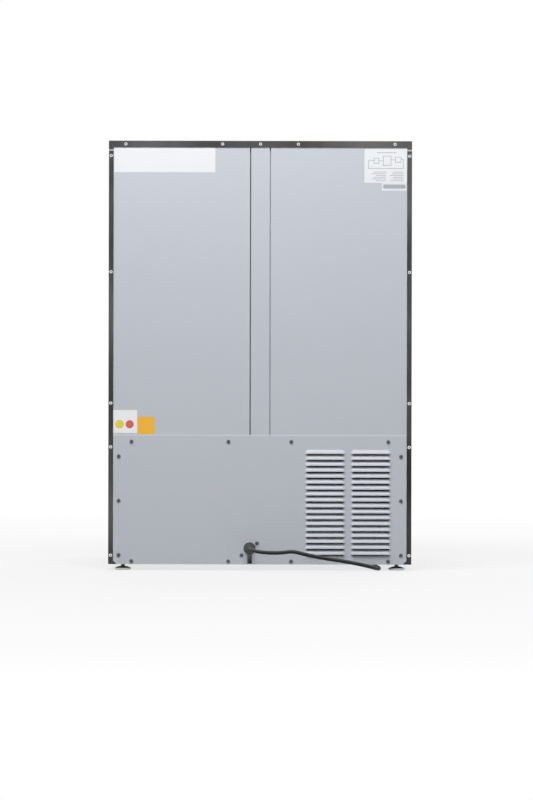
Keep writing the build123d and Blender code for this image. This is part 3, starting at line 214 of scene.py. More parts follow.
def shader_group(name, inputs, outputs):
    """A shader node group with named sockets; returns it, the values given to it and those it makes."""
    group = bpy.data.node_groups.new(name, "ShaderNodeTree")
    for label, kind, value in inputs:
        socket = group.interface.new_socket(name=label, in_out="INPUT", socket_type=kind)
        socket.default_value = value
    for label, kind in outputs:
        group.interface.new_socket(name=label, in_out="OUTPUT", socket_type=kind)
    given, made = group.nodes.new("NodeGroupInput"), group.nodes.new("NodeGroupOutput")
    return group, given.outputs, made.inputs


def edge_wear_group():
    """Edges that handling has rubbed: the base colour turns to the worn colour at sharp edges."""
    group, given, made = shader_group(
        "edge_wear",
        [
            ("Color", COLOUR, (0.5, 0.5, 0.5, 1.0)),
            ("Worn Color", COLOUR, (0.8, 0.8, 0.8, 1.0)),
            ("Vector", VECTOR, (0.0, 0.0, 0.0)),
            ("Amount", FLOAT, 0.5),
        ],
        [("Color", COLOUR)],
    )
    rounded = group.nodes.new("ShaderNodeBevel")
    rounded.samples = 4
    rounded.inputs["Radius"].default_value = WEAR_REACH
    facing = group.nodes.new("ShaderNodeNewGeometry").outputs["Normal"]
    alike = vector_node(group, "DOT_PRODUCT", rounded.outputs["Normal"], facing, output="Value")
    edge = range_node(group, alike, 0.80, 0.99, 1.0, 0.0)
    patches = range_node(group, noise_node(group, given["Vector"], 90.0), 0.35, 0.7, 0.25, 1.0)
    rubbed = math_node(group, "MULTIPLY", edge, patches)
    share = math_node(group, "MULTIPLY", rubbed, given["Amount"])
    feed(group, mix_node(group, share, given["Color"], given["Worn Color"]), made["Color"])
    return group


def brushed_lines_group():
    """The fine parallel lines of brushed metal, drawn along the axis whose scale is low.

    On a face square to that axis they turn by a quarter, so that no end face is speckled.
    """
    group, given, made = shader_group(
        "brushed_lines",
        [
            ("Vector", VECTOR, (0.0, 0.0, 0.0)),
            ("Line Scale", VECTOR, (900.0, 900.0, 8.0)),
            ("Dark Color", COLOUR, (0.4, 0.4, 0.4, 1.0)),
            ("Light Color", COLOUR, (0.6, 0.6, 0.6, 1.0)),
            ("Low Roughness", FLOAT, 0.24),
            ("High Roughness", FLOAT, 0.40),
        ],
        [("Color", COLOUR), ("Roughness", FLOAT), ("Height", FLOAT)],
    )
    normal = group.nodes.new("ShaderNodeTexCoord").outputs["Normal"]
    outward = vector_node(group, "ABSOLUTE", normal)
    square_scale = vector_node(group, "DOT_PRODUCT", outward, given["Line Scale"], output="Value")
    on_end = range_node(group, square_scale, END_FACE_SCALE, LONG_FACE_SCALE, 1.0, 0.0)
    turned = group.nodes.new("ShaderNodeCombineXYZ")
    for scale, axis in zip(split_xyz(group, given["Line Scale"]), ("Z", "Y", "X")):
        feed(group, scale, turned.inputs[axis])
    line_scale = mix_node(group, on_end, given["Line Scale"], turned.outputs["Vector"], "VECTOR")
    stretch = vector_node(group, "MULTIPLY", given["Vector"], line_scale)
    lines = noise_node(group, stretch, 1.0, detail=4.0, roughness=0.65)
    handled = noise_node(group, given["Vector"], 7.0, detail=3.0)
    tone = math_node(group, "MULTIPLY_ADD", handled, 0.12, lines)
    share = range_node(group, tone, 0.36, 0.76)
    rough = mix_node(group, handled, given["Low Roughness"], given["High Roughness"], "FLOAT")
    feed(group, mix_node(group, share, given["Dark Color"], given["Light Color"]), made["Color"])
    feed(group, rough, made["Roughness"])
    feed(group, lines, made["Height"])
    return group


def coat_group():
    """A baked coat on sheet or a moulded skin: cloudy tone, fine peel and a trace of dust."""
    group, given, made = shader_group(
        "coat",
        [
            ("Vector", VECTOR, (0.0, 0.0, 0.0)),
            ("Color", COLOUR, (0.5, 0.5, 0.5, 1.0)),
            ("Clouding", FLOAT, 0.04),
            ("Peel Scale", FLOAT, 420.0),
            ("Roughness", FLOAT, 0.45),
            ("Dust", FLOAT, 0.15),
        ],
        [("Color", COLOUR), ("Roughness", FLOAT), ("Height", FLOAT)],
    )
    clouds = noise_node(group, given["Vector"], 5.0, detail=3.0)
    change = math_node(group, "MULTIPLY", math_node(group, "SUBTRACT", clouds, 0.5), given["Clouding"])
    level = math_node(group, "MULTIPLY_ADD", change, 2.0, 1.0)
    toned = vector_node(group, "MULTIPLY", given["Color"], level)
    upward = split_xyz(group, group.nodes.new("ShaderNodeNewGeometry").outputs["Normal"])[2]
    settled = range_node(group, upward, 0.3, 1.0, 0.0, 0.35)
    specks = range_node(group, noise_node(group, given["Vector"], 260.0, detail=4.0), 0.5, 0.8)
    dust = math_node(group, "MULTIPLY", math_node(group, "ADD", settled, specks), given["Dust"])
    dust = math_node(group, "MULTIPLY", dust, 0.4)
    rough = math_node(group, "MULTIPLY_ADD", change, 1.5, given["Roughness"])
    feed(group, mix_node(group, dust, toned, (0.62, 0.61, 0.58)), made["Color"])
    feed(group, math_node(group, "MULTIPLY_ADD", dust, 0.5, rough), made["Roughness"])
    feed(group, noise_node(group, given["Vector"], given["Peel Scale"], detail=3.0), made["Height"])
    return group


EDGE_WEAR = edge_wear_group()
BRUSHED_LINES = brushed_lines_group()
COAT = coat_group()


# Finishes

SHEET_GREY = (0.530, 0.553, 0.608)
# The pale grey of the painted light on the cover's hoods.
HOOD_PAINTED_LIGHT_GREY = (0.66, 0.68, 0.73)
FINE_RELIEF = 0.00003


def new_finish(name):
    """An empty finish: the material, its node tree, its shader and the object coordinates."""
    material = bpy.data.materials.new(name)
    material.use_nodes = True
    tree = material.node_tree
    coordinates = tree.nodes.new("ShaderNodeTexCoord")
    return material, tree, tree.nodes["Principled BSDF"], coordinates.outputs["Object"]


def place_group(tree, group, vector, **values):
    """One use of a shader node group in a material, with its own values; returns its outputs."""
    node = tree.nodes.new("ShaderNodeGroup")
    node.node_tree = group
    feed(tree, vector, node.inputs["Vector"])
    for label, value in values.items():
        feed(tree, value, node.inputs[label.replace("_", " ")])
    return node.outputs


def bump(tree, shader, height, distance, strength):
    """Turns a height in the pattern into relief on the shader's normal."""
    node = tree.nodes.new("ShaderNodeBump")
    node.inputs["Strength"].default_value = strength
    node.inputs["Distance"].default_value = distance
    feed(tree, height, node.inputs["Height"])
    feed(tree, node.outputs["Normal"], shader.inputs["Normal"])


def darker(colour, share):
    """A colour taken down to a share of itself."""
    return tuple(part * share for part in colour)


def ridges(tree, along, pitch):
    """A wave from -1 to 1 that comes again at every pitch along one axis."""
    return math_node(tree, "SINE", math_node(tree, "MULTIPLY", along, 2 * math.pi / pitch))


def apply_surface(tree, shader, place, skin, colour, worn, wear, relief):
    """Feeds a shader with the colour and its rubbed edges, and the gloss and relief of the skin."""
    rubbed = place_group(tree, EDGE_WEAR, place, Color=colour, Worn_Color=worn, Amount=wear)
    feed(tree, rubbed["Color"], shader.inputs["Base Color"])
    feed(tree, skin["Roughness"], shader.inputs["Roughness"])
    bump(tree, shader, skin["Height"], relief, 0.4)


def brushed_lines(tree, place, dark, light, line_scale, roughness):
    """The lines of one brushed metal: two tones, their scale and the range of the roughness."""
    low, high = roughness
    return place_group(
        tree,
        BRUSHED_LINES,
        place,
        Line_Scale=line_scale,
        Dark_Color=dark,
        Light_Color=light,
        Low_Roughness=low,
        High_Roughness=high,
    )


def brushed_finish(
    name, dark, light, line_scale, roughness=(0.24, 0.38), worn=(0.75, 0.74, 0.72), wear=0.35
):
    """Brushed metal whose lines run along the axis with the low line scale."""
    material, tree, shader, place = new_finish(name)
    lines = brushed_lines(tree, place, dark, light, line_scale, roughness)
    shader.inputs["Metallic"].default_value = 1.0
    apply_surface(tree, shader, place, lines, lines["Color"], worn, wear, FINE_RELIEF)
    return material


def coated_finish(
    name,
    colour,
    roughness=0.45,
    clouding=0.04,
    peel_scale=1400.0,
    peel=0.00006,
    dust=0.10,
    wear=0.3,
    coat=0.0,
    specular=0.5,
):
    """A coated or moulded surface in one colour with its clouding, peel, dust and rubbed edges."""
    material, tree, shader, place = new_finish(name)
    skin = place_group(
        tree,
        COAT,
        place,
        Color=colour,
        Clouding=clouding,
        Peel_Scale=peel_scale,
        Roughness=roughness,
        Dust=dust,
    )
    worn = tuple(min(1.0, part * 1.25 + 0.04) for part in colour)
    shader.inputs["Coat Weight"].default_value = coat
    shader.inputs["Coat Roughness"].default_value = 0.12
    shader.inputs["Specular IOR Level"].default_value = specular
    apply_surface(tree, shader, place, skin, skin["Color"], worn, wear, peel)
    return material


def casing_finish(name, line_scale):
    """Brushed stainless casing; its rear flanges carry a painted reflection, dark and uneven, and its skirt
    edge a painted highlight.
    """
    material, tree, shader, place = new_finish(name)
    dark, light = (0.430, 0.425, 0.415), (0.520, 0.515, 0.505)
    lines = brushed_lines(tree, place, dark, light, line_scale, (0.26, 0.40))
    y, z = split_xyz(tree, place)[1:]
    # Painted reflection on the rear flanges: a dark, uneven tone that turns lighter towards the top, with a
    # warm sheen.
    broad = noise_node(tree, vector_node(tree, "MULTIPLY", place, (6.0, 1.0, 5.0)), 1.0, detail=1.0)
    fine = noise_node(tree, vector_node(tree, "MULTIPLY", place, (60.0, 1.0, 22.0)), 1.0, detail=4.0)
    rise = range_node(tree, z, 0.05, BODY_TOP, 0.0, 0.40)
    tone = math_node(tree, "ADD", math_node(tree, "MULTIPLY_ADD", fine, 0.22, broad), rise)
    warm = range_node(tree, noise_node(tree, place, 4.2), 0.50, 0.62)
    sheen = mix_node(tree, warm, (0.150, 0.153, 0.163), (0.170, 0.158, 0.142))
    rolled = mix_node(tree, range_node(tree, tone, 0.58, 1.18), (0.030, 0.0305, 0.0325), sheen)
    # Painted highlight on the skirt edge along the joint below the top cover.
    from_joint = math_node(tree, "ABSOLUTE", math_node(tree, "SUBTRACT", z, JOINT_Z))
    painted_joint_highlight = range_node(tree, from_joint, 0.0009, 0.0017, 1.0, 0.0)
    flange_with_painted_light = mix_node(tree, painted_joint_highlight, rolled, (0.55, 0.55, 0.56))
    colour = mix_node(tree, past(tree, y, FLANGE_FROM_Y, 0.0003), lines["Color"], flange_with_painted_light)
    shader.inputs["Metallic"].default_value = 1.0
    apply_surface(tree, shader, place, lines, colour, (0.45, 0.45, 0.44), 0.35, FINE_RELIEF)
    return material


def coat_sheet(tree, shader, place, colour):
    """The thin grey coat of the rear sheets over the given colour."""
    skin = place_group(
        tree,
        COAT,
        place,
        Color=colour,
        Clouding=0.015,
        Peel_Scale=900.0,
        Roughness=0.42,
        Dust=0.04,
    )
    apply_surface(tree, shader, place, skin, skin["Color"], (0.66, 0.69, 0.75), 0.25, FINE_RELIEF)


def back_sheet_finish():
    """The coated sheet of the back panels."""
    material, tree, shader, place = new_finish("coated_back_sheet")
    coat_sheet(tree, shader, place, SHEET_GREY)
    return material


def channel_finish():
    """The coated centre channel, with painted shade on the floor of its groove at +X."""
    material, tree, shader, place = new_finish("coated_channel")
    x, y = split_xyz(tree, place)[:2]
    # Painted shade: the floor of the groove at +X is darker, where shade falls in the joint.
    deep = range_node(tree, y, GROOVE_FLOOR_Y, GROOVE_FLOOR_Y + 0.0004, 1.0, 0.0)
    painted_groove_shade = math_node(tree, "MULTIPLY", deep, past(tree, x, SHADED_GROOVE_FROM_X, 0.002))
    coat_sheet(tree, shader, place, mix_node(tree, painted_groove_shade, SHEET_GREY, (0.17, 0.175, 0.19)))
    return material


def cover_finish():
    """The coated service cover, with painted light on its hoods and a painted highlight along its upper
    edge.
    """
    material, tree, shader, place = new_finish("coated_cover_sheet")
    y, z = split_xyz(tree, place)[1:]
    # Painted light: the hoods turn paler where they stand out from the sheet.
    hoods_painted_light = mix_node(tree, range_node(tree, y, HOOD_FROM_Y, HOOD_FULL_Y), SHEET_GREY, HOOD_PAINTED_LIGHT_GREY)
    # Painted highlight along the cover's upper edge.
    painted_edge_highlight = past(tree, z, EDGE_HIGHLIGHT_FROM_Z, 0.0006)
    coat_sheet(tree, shader, place, mix_node(tree, painted_edge_highlight, hoods_painted_light, (0.70, 0.72, 0.77)))
    return material


def cord_finish():
    """The black cord jacket, dull, with a painted highlight that makes its upper side lighter."""
    material, tree, shader, place = new_finish("black_cord_jacket")
    upward = split_xyz(tree, tree.nodes.new("ShaderNodeNewGeometry").outputs["Normal"])[2]
    # Painted highlight: the jacket turns lighter the more its face looks up.
    painted_top_highlight = range_node(tree, upward, -0.1, 0.9)
    colour = mix_node(tree, painted_top_highlight, (0.008, 0.008, 0.009), (0.085, 0.087, 0.090))
    skin = place_group(
        tree, COAT, place, Color=colour, Clouding=0.08, Peel_Scale=1500.0, Roughness=0.5, Dust=0.04
    )
    shader.inputs["Specular IOR Level"].default_value = 0.2
    apply_surface(tree, shader, place, skin, skin["Color"], (0.09, 0.09, 0.09), 0.0, 0.00005)
    return material


def clear_finish(name, colour, roughness, ior):
    """Clear glass or plastic with faint smears in its gloss and a tinted body."""
    material, tree, shader, place = new_finish(name)
    smear = noise_node(tree, place, 22.0, detail=4.0)
    feed(tree, mix_node(tree, smear, colour, darker(colour, 0.93)), shader.inputs["Base Color"])
    rough = range_node(tree, smear, 0.35, 0.75, roughness, roughness + 0.10)
    feed(tree, rough, shader.inputs["Roughness"])
    shader.inputs["Transmission Weight"].default_value = 1.0
    shader.inputs["IOR"].default_value = ior
    return material


def fin_finish(name, pitch):
    """Stacked aluminium fins, whose edges lie one pitch apart along X, with painted shade in the gaps
    between them.
    """
    material, tree, shader, place = new_finish(name)
    wave = ridges(tree, split_xyz(tree, place)[0], pitch)
    dirt = noise_node(tree, place, 60.0, detail=4.0)
    bright = mix_node(tree, dirt, (0.52, 0.53, 0.54), (0.70, 0.71, 0.72))
    # Painted shade: the colour turns dark between the fins, where shade falls in the gaps.
    colour = mix_node(tree, range_node(tree, wave, -0.6, 0.6), (0.06, 0.06, 0.065), bright)
    feed(tree, colour, shader.inputs["Base Color"])
    feed(tree, range_node(tree, dirt, 0.3, 0.7, 0.35, 0.55), shader.inputs["Roughness"])
    shader.inputs["Metallic"].default_value = 0.9
    bump(tree, shader, wave, 0.0008, 0.6)
    return material


def levelling_foot_finish():
    """Zinc plating with the rolled thread of the stud above the pad."""
    material, tree, shader, place = new_finish("levelling_foot_zinc")
    z = split_xyz(tree, place)[2]
    mottle = noise_node(tree, place, 240.0, detail=4.0)
    colour = mix_node(tree, mottle, (0.42, 0.42, 0.41), (0.66, 0.66, 0.65))
    rubbed = place_group(tree, EDGE_WEAR, place, Color=colour, Worn_Color=(0.8, 0.8, 0.8), Amount=0.5)
    feed(tree, rubbed["Color"], shader.inputs["Base Color"])
    feed(tree, range_node(tree, mottle, 0.3, 0.7, 0.30, 0.48), shader.inputs["Roughness"])
    shader.inputs["Metallic"].default_value = 1.0
    on_stud = past(tree, z, FOOT_PAD_TOP, 0.0004)
    thread = math_node(tree, "MULTIPLY", ridges(tree, z, THREAD_PITCH), on_stud)
    bump(tree, shader, thread, 0.0004, 0.7)
    return material


def plug_finish():
    """A black moulded plug body with plated blades beyond its face."""
    material, tree, shader, place = new_finish("plug_body_and_blades")
    skin = place_group(tree, COAT, place, Color=(0.014, 0.014, 0.015), Roughness=0.5, Dust=0.1)
    on_blade = range_node(tree, split_xyz(tree, place)[0], PLUG_FACE - 0.0002, PLUG_FACE, 1.0, 0.0)
    rubbing = noise_node(tree, place, 500.0, detail=3.0)
    plating = mix_node(tree, rubbing, (0.66, 0.60, 0.45), (0.82, 0.78, 0.66))
    feed(tree, mix_node(tree, on_blade, skin["Color"], plating), shader.inputs["Base Color"])
    feed(tree, on_blade, shader.inputs["Metallic"])
    rough = math_node(tree, "MULTIPLY_ADD", on_blade, -0.22, skin["Roughness"])
    feed(tree, rough, shader.inputs["Roughness"])
    bump(tree, shader, skin["Height"], 0.00008, 0.4)
    return material


def label_finish(name, colour):
    """A bare or printed label: fine fibres in its tone and a slight, uneven sheen."""
    material, tree, shader, place = new_finish(name)
    fibre = noise_node(tree, place, 700.0, detail=3.0)
    broad = noise_node(tree, place, 30.0)
    tone = math_node(tree, "MULTIPLY", math_node(tree, "ADD", fibre, broad), 0.5)
    feed(tree, mix_node(tree, tone, darker(colour, 0.95), colour), shader.inputs["Base Color"])
    feed(tree, range_node(tree, broad, 0.3, 0.7, 0.35, 0.47), shader.inputs["Roughness"])
    bump(tree, shader, broad, 0.0001, 0.3)
    return material


def foam_finish():
    """Pale rigid foam with fine cells, and painted shade, near black, on the face behind the rear sheets.
    """
    material, tree, shader, place = new_finish("rigid_foam")
    cells = tree.nodes.new("ShaderNodeTexVoronoi")
    cells.inputs["Scale"].default_value = 700.0
    feed(tree, place, cells.inputs["Vector"])
    tone = range_node(tree, cells.outputs["Distance"], 0.0, 0.8)
    foam = mix_node(tree, tone, (0.55, 0.46, 0.24), (0.80, 0.72, 0.46))
    # Painted shade: the foam's rear face is near black, so that gaps in the rear sheets read dark.
    painted_shade_on_rear_face = past(tree, split_xyz(tree, place)[1], FOAM_SHADE_FROM_Y)
    feed(tree, mix_node(tree, painted_shade_on_rear_face, foam, (0.012, 0.012, 0.013)), shader.inputs["Base Color"])
    feed(tree, range_node(tree, tone, 0.0, 1.0, 0.75, 0.9), shader.inputs["Roughness"])
    bump(tree, shader, cells.outputs["Distance"], 0.0004, 0.5)
    return material


def zinc_finish():
    """Zinc coated sheet with its faint spangle, and black tape on the pan's end walls, which is also
    painted shade inside the machine space.
    """
    material, tree, shader, place = new_finish("zinc_coated_sheet")
    spangle = tree.nodes.new("ShaderNodeTexVoronoi")
    spangle.inputs["Scale"].default_value = 110.0
    feed(tree, place, spangle.inputs["Vector"])
    shades = tree.nodes.new("ShaderNodeSeparateColor")
    feed(tree, spangle.outputs["Color"], shades.inputs["Color"])
    flake = shades.outputs["Red"]
    zinc = mix_node(tree, flake, (0.43, 0.44, 0.46), (0.50, 0.51, 0.53))
    y, z = split_xyz(tree, place)[1:]
    # Black tape on the pan's end walls, which also paints the shade of the machine space where the walls
    # show.
    at_front = range_node(tree, y, TAPE_TO_Y, TAPE_TO_Y + 0.0005, 1.0, 0.0)
    at_end = math_node(tree, "MAXIMUM", past(tree, y, TAPE_FROM_Y), at_front)
    tape_and_painted_shade = math_node(tree, "MULTIPLY", at_end, past(tree, z, TAPE_FROM_Z, 0.0003))
    colour = mix_node(tree, tape_and_painted_shade, zinc, (0.014, 0.014, 0.015))
    rubbed = place_group(tree, EDGE_WEAR, place, Color=colour, Worn_Color=(0.7, 0.7, 0.7), Amount=0.3)
    feed(tree, rubbed["Color"], shader.inputs["Base Color"])
    feed(tree, range_node(tree, flake, 0.0, 1.0, 0.32, 0.5), shader.inputs["Roughness"])
    shader.inputs["Metallic"].default_value = 1.0
    return material


LINES_UPRIGHT, LINES_ACROSS = (900.0, 900.0, 8.0), (8.0, 900.0, 900.0)
LINES_TURNED, LINES_DRAWN = (1500.0, 1500.0, 1500.0), (300.0, 300.0, 300.0)

# Dark and light tone, line scale, and where they differ the roughness, the worn tone and the wear.
BRUSHED_LOOKS = {
    "door_stainless": ((0.485, 0.480, 0.470), (0.580, 0.575, 0.565), LINES_ACROSS),
    "frame_stainless": ((0.445, 0.440, 0.430), (0.540, 0.535, 0.525), LINES_ACROSS),
    "handle_stainless": ((0.45, 0.445, 0.435), (0.68, 0.675, 0.665), LINES_UPRIGHT, (0.18, 0.30)),
    "bright_screw_plating": ((0.72, 0.72, 0.72), (0.94, 0.94, 0.93), LINES_TURNED, (0.20, 0.32)),
    # The recess finishes are darker than the plating: painted shade in the cross recesses.
    "bright_screw_recess": ((0.10, 0.10, 0.10), (0.34, 0.34, 0.34), LINES_TURNED, (0.35, 0.5)),
    "dark_screw_recess": ((0.020, 0.020, 0.022), (0.070, 0.070, 0.075), LINES_TURNED, (0.35, 0.5)),
    # The dark screws' pale worn edges are partly rubbed plating and partly a painted highlight round the
    # heads.
    "dark_screw_plating": (
        (0.075, 0.074, 0.092),
        (0.190, 0.190, 0.225),
        LINES_TURNED,
        (0.26, 0.40),
        (0.55, 0.55, 0.58),
        0.6,
    ),
    "drawn_copper": ((0.50, 0.22, 0.12), (0.78, 0.42, 0.27), LINES_DRAWN, (0.22, 0.42), (0.9, 0.6, 0.45)),
}

COATED_LOOKS = {
    "grained_black_moulding": {"colour": (0.020, 0.020, 0.022), "roughness": 0.5, "peel": 0.0001},
    "white_liner": {
        "colour": (0.76, 0.77, 0.775),
        "roughness": 0.28,
        "clouding": 0.01,
        "peel_scale": 600.0,
        "dust": 0.02,
        "wear": 0.1,
    },
    "white_hood": {
        "colour": (0.72, 0.73, 0.735),
        "roughness": 0.36,
        "clouding": 0.01,
        "dust": 0.02,
        "wear": 0.15,
    },
    "moulded_shelf_trim": {"colour": (0.46, 0.47, 0.48), "roughness": 0.42, "wear": 0.2},
    "smoked_display": {
        "colour": (0.010, 0.011, 0.014),
        "roughness": 0.10,
        "peel": 0.0,
        "dust": 0.05,
        "wear": 0.05,
        "coat": 0.6,
    },
    "button_caps": {"colour": (0.58, 0.59, 0.60), "roughness": 0.40, "peel_scale": 1800.0, "wear": 0.2},
    "baked_black_enamel": {
        "colour": (0.012, 0.012, 0.013),
        "roughness": 0.22,
        "peel_scale": 260.0,
        "peel": 0.0002,
        "dust": 0.2,
        "coat": 0.3,
    },
    "black_rubber": {"colour": (0.016, 0.016, 0.016), "roughness": 0.75, "peel": 0.00012, "dust": 0.25},
    "grey_gasket": {"colour": (0.16, 0.165, 0.17), "roughness": 0.58, "dust": 0.08},
    "cord_tie_strap": {
        "colour": (0.030, 0.030, 0.032),
        "roughness": 0.85,
        "peel_scale": 900.0,
        "peel": 0.0003,
    },
    "grommet_moulding": {"colour": (0.075, 0.078, 0.082), "roughness": 0.48, "dust": 0.1, "specular": 0.35},
    "bush_nylon": {"colour": (0.70, 0.69, 0.66), "roughness": 0.38},
}

LABEL_COLOURS = {
    "bare_label": (0.790, 0.805, 0.830),
    "gloss_label": (0.92, 0.92, 0.94),
    "grey_print": (0.26, 0.26, 0.29),
    "grey_band": (0.40, 0.41, 0.445),
    "amber_label": (0.95, 0.50, 0.045),
    "yellow_print": (0.80, 0.68, 0.07),
    "red_print": (0.72, 0.13, 0.09),
}

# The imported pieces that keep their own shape, by the finish that they take.
PIECES_IN_FINISH = {
    "casing_stainless_across": ["top_cover"],
    "casing_stainless_upright": ["side_panel_left", "side_panel_right"],
    "frame_stainless": ["front_frame", "toe_grille", "hinge_top", "hinge_bottom"],
    "door_stainless": ["door_panel"],
    "handle_stainless": ["handle_bar", "handle_posts"],
    "zinc_coated_sheet": ["base_pan"],
    "coated_back_sheet": ["back_panel_left", "back_panel_right"],
    "coated_channel": ["back_centre_channel"],
    "coated_cover_sheet": ["service_cover"],
    "bright_screw_plating": ["hinge_screws"],
    "levelling_foot_zinc": ["foot_front_left", "foot_front_right", "foot_rear_left", "foot_rear_right"],
    "rigid_foam": ["cabinet_foam", "door_foam"],
    "white_liner": ["inner_liner", "door_liner"],
    "white_hood": ["evaporator_cover", "control_housing"],
    "toughened_shelf_glass": ["shelf_glass_lower", "shelf_glass_middle", "shelf_glass_upper"],
    "moulded_shelf_trim": ["shelf_trims"],
    "clear_rack_plastic": ["door_rack_lower", "door_rack_upper"],
    "frosted_light_lens": ["light_lens"],
    "smoked_display": ["display_lens"],
    "button_caps": ["button_power", "button_set", "button_down", "button_up"],
    "condenser_fins": ["condenser"],
    "evaporator_fins": ["evaporator_coil"],
    "baked_black_enamel": ["evaporator_fan_motor", "compressor"],
    "grained_black_moulding": [
        "foot_blocks",
        "evaporator_fan",
        "drip_tray",
        "fan_shroud",
        "condenser_fan",
    ],
    "drawn_copper": ["filter_drier", "refrigerant_lines"],
    "black_rubber": ["compressor_feet"],
    "bush_nylon": ["hinge_bushes"],
    "grey_gasket": ["door_gasket"],
    "grommet_moulding": ["cord_grommet"],
    "plug_body_and_blades": ["power_plug"],
}


def make_finishes():
    """Every finish of the appliance by its name."""
    made = [brushed_finish(name, *look) for name, look in BRUSHED_LOOKS.items()]
    made += [coated_finish(name, **look) for name, look in COATED_LOOKS.items()]
    made += [label_finish(name, colour) for name, colour in LABEL_COLOURS.items()]
    made += [
        casing_finish("casing_stainless_upright", LINES_UPRIGHT),
        casing_finish("casing_stainless_across", LINES_ACROSS),
        back_sheet_finish(),
        channel_finish(),
        cover_finish(),
        cord_finish(),
        zinc_finish(),
        foam_finish(),
        clear_finish("toughened_shelf_glass", (0.90, 0.97, 0.95), 0.02, 1.50),
        clear_finish("clear_rack_plastic", (0.93, 0.95, 0.96), 0.06, 1.49),
        clear_finish("frosted_light_lens", (0.95, 0.96, 0.97), 0.35, 1.49),
        fin_finish("condenser_fins", CONDENSER_FIN_PITCH),
        fin_finish("evaporator_fins", EVAPORATOR_FIN_PITCH),
        levelling_foot_finish(),
        plug_finish(),
    ]
    return {material.name: material for material in made}


def dress_packed_pieces(finishes):
    """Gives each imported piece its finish."""
    for finish, pieces in PIECES_IN_FINISH.items():
        for piece in pieces:
            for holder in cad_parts[piece].material_slots:
                holder.material = finishes[finish]


# The studio


def background_rays(tree):
    """1 for the rays that show the background: camera, glossy and transmission rays."""
    path = tree.nodes.new("ShaderNodeLightPath").outputs
    direct = math_node(tree, "MAXIMUM", path["Is Camera Ray"], path["Is Glossy Ray"])
    return math_node(tree, "MAXIMUM", direct, path["Is Transmission Ray"])


def set_room():
    """A surround that shows as white and lights the appliance only faintly."""
    world = bpy.data.worlds.new("white_studio")
    bpy.context.scene.world = world
    world.use_nodes = True
    tree = world.node_tree
    surround = tree.nodes["Background"]
    surround.inputs["Color"].default_value = (1.0, 1.0, 1.0, 1.0)
    strength = range_node(tree, background_rays(tree), 0.0, 1.0, ROOM_LIGHT, 1.0)
    feed(tree, strength, surround.inputs["Strength"])


def area_lamp(name, place, aim, size, watts, mirrored):
    """A soft box at place that faces aim; gloss shows it only where it is mirrored."""
    data = bpy.data.lights.new(name, "AREA")
    data.shape = "RECTANGLE"
    data.size, data.size_y = size
    data.energy = watts
    lamp = bpy.data.objects.new(name, data)
    lamp.location = place
    lamp.rotation_euler = (Vector(aim) - Vector(place)).to_track_quat("-Z", "Y").to_euler()
    lamp.visible_glossy = mirrored
    bpy.context.scene.collection.objects.link(lamp)


def floor_paint():
    """Pale paint that takes the shadow near the appliance and turns white further out."""
    paint = bpy.data.materials.new("studio_floor_paint")
    paint.use_nodes = True
    tree = paint.node_tree
    shader = tree.nodes["Principled BSDF"]
    shader.inputs["Base Color"].default_value = (0.52, 0.52, 0.52, 1.0)
    shader.inputs["Roughness"].default_value = 0.9
    glow = tree.nodes.new("ShaderNodeEmission")
    place = tree.nodes.new("ShaderNodeTexCoord").outputs["Object"]
    distance = vector_node(tree, "LENGTH", place, output="Value")
    white = range_node(tree, distance, NEAR_DISTANCE, FAR_DISTANCE, NEAR_WHITE, FAR_WHITE)
    both = tree.nodes.new("ShaderNodeMixShader")
    feed(tree, math_node(tree, "MULTIPLY", background_rays(tree), white), both.inputs["Fac"])
    feed(tree, shader.outputs["BSDF"], both.inputs[1])
    feed(tree, glow.outputs["Emission"], both.inputs[2])
    feed(tree, both.outputs["Shader"], tree.nodes["Material Output"].inputs["Surface"])
    return paint


def make_floor():
    """The floor that the appliance stands on."""
    mesh = bpy.data.meshes.new("studio_floor")
    square = strip(-FLOOR_REACH, FLOOR_REACH, -FLOOR_REACH, FLOOR_REACH)
    mesh.from_pydata([(x, y, 0) for x, y in square], [], [(0, 1, 2, 3)])
    mesh.materials.append(floor_paint())
    floor = bpy.data.objects.new("studio_floor", mesh)
    bpy.context.scene.collection.objects.link(floor)


def set_studio():
    """A white room with soft boxes above and on both sides, and a pale floor."""
    bpy.context.scene.view_settings.view_transform = "Standard"
    set_room()
    for lamp in LAMPS:
        area_lamp(*lamp)
    make_floor()


# The supply cord: it leaves the grommet, runs beside the cover and under the cabinet, and ends
# in a small coil and its plug in front of the toe grille.
CORD_DIAMETER = 0.0075
CORD_EXIT = (0.0198, 0.3295, 0.0434)
CORD_FLOOR = 0.0038
CORD_ROUTE = [
    CORD_EXIT,
    (0.0198, 0.3635, 0.0434),
    (-0.0042, 0.3885, 0.0392),
    (-0.0390, 0.3925, 0.0385),
    (-0.0640, 0.3915, 0.0420),
    (-0.0842, 0.3885, 0.0365),
    (-0.1272, 0.3845, 0.0275),
    (-0.1712, 0.3755, 0.0208),
    (-0.2112, 0.3545, 0.0115),
    (-0.2332, 0.3195, CORD_FLOOR),
    (-0.2362, 0.2735, CORD_FLOOR),
    (-0.2292, 0.2095, CORD_FLOOR),
    (-0.2342, 0.1295, CORD_FLOOR),
    (-0.2122, 0.0475, CORD_FLOOR),
    (-0.1762, -0.0265, CORD_FLOOR),
    (-0.1522, -0.1025, CORD_FLOOR),
    (-0.1082, -0.1605, CORD_FLOOR),
    (-0.0960, -0.2125, CORD_FLOOR),
    (-0.0960, -0.2560, CORD_FLOOR),
]

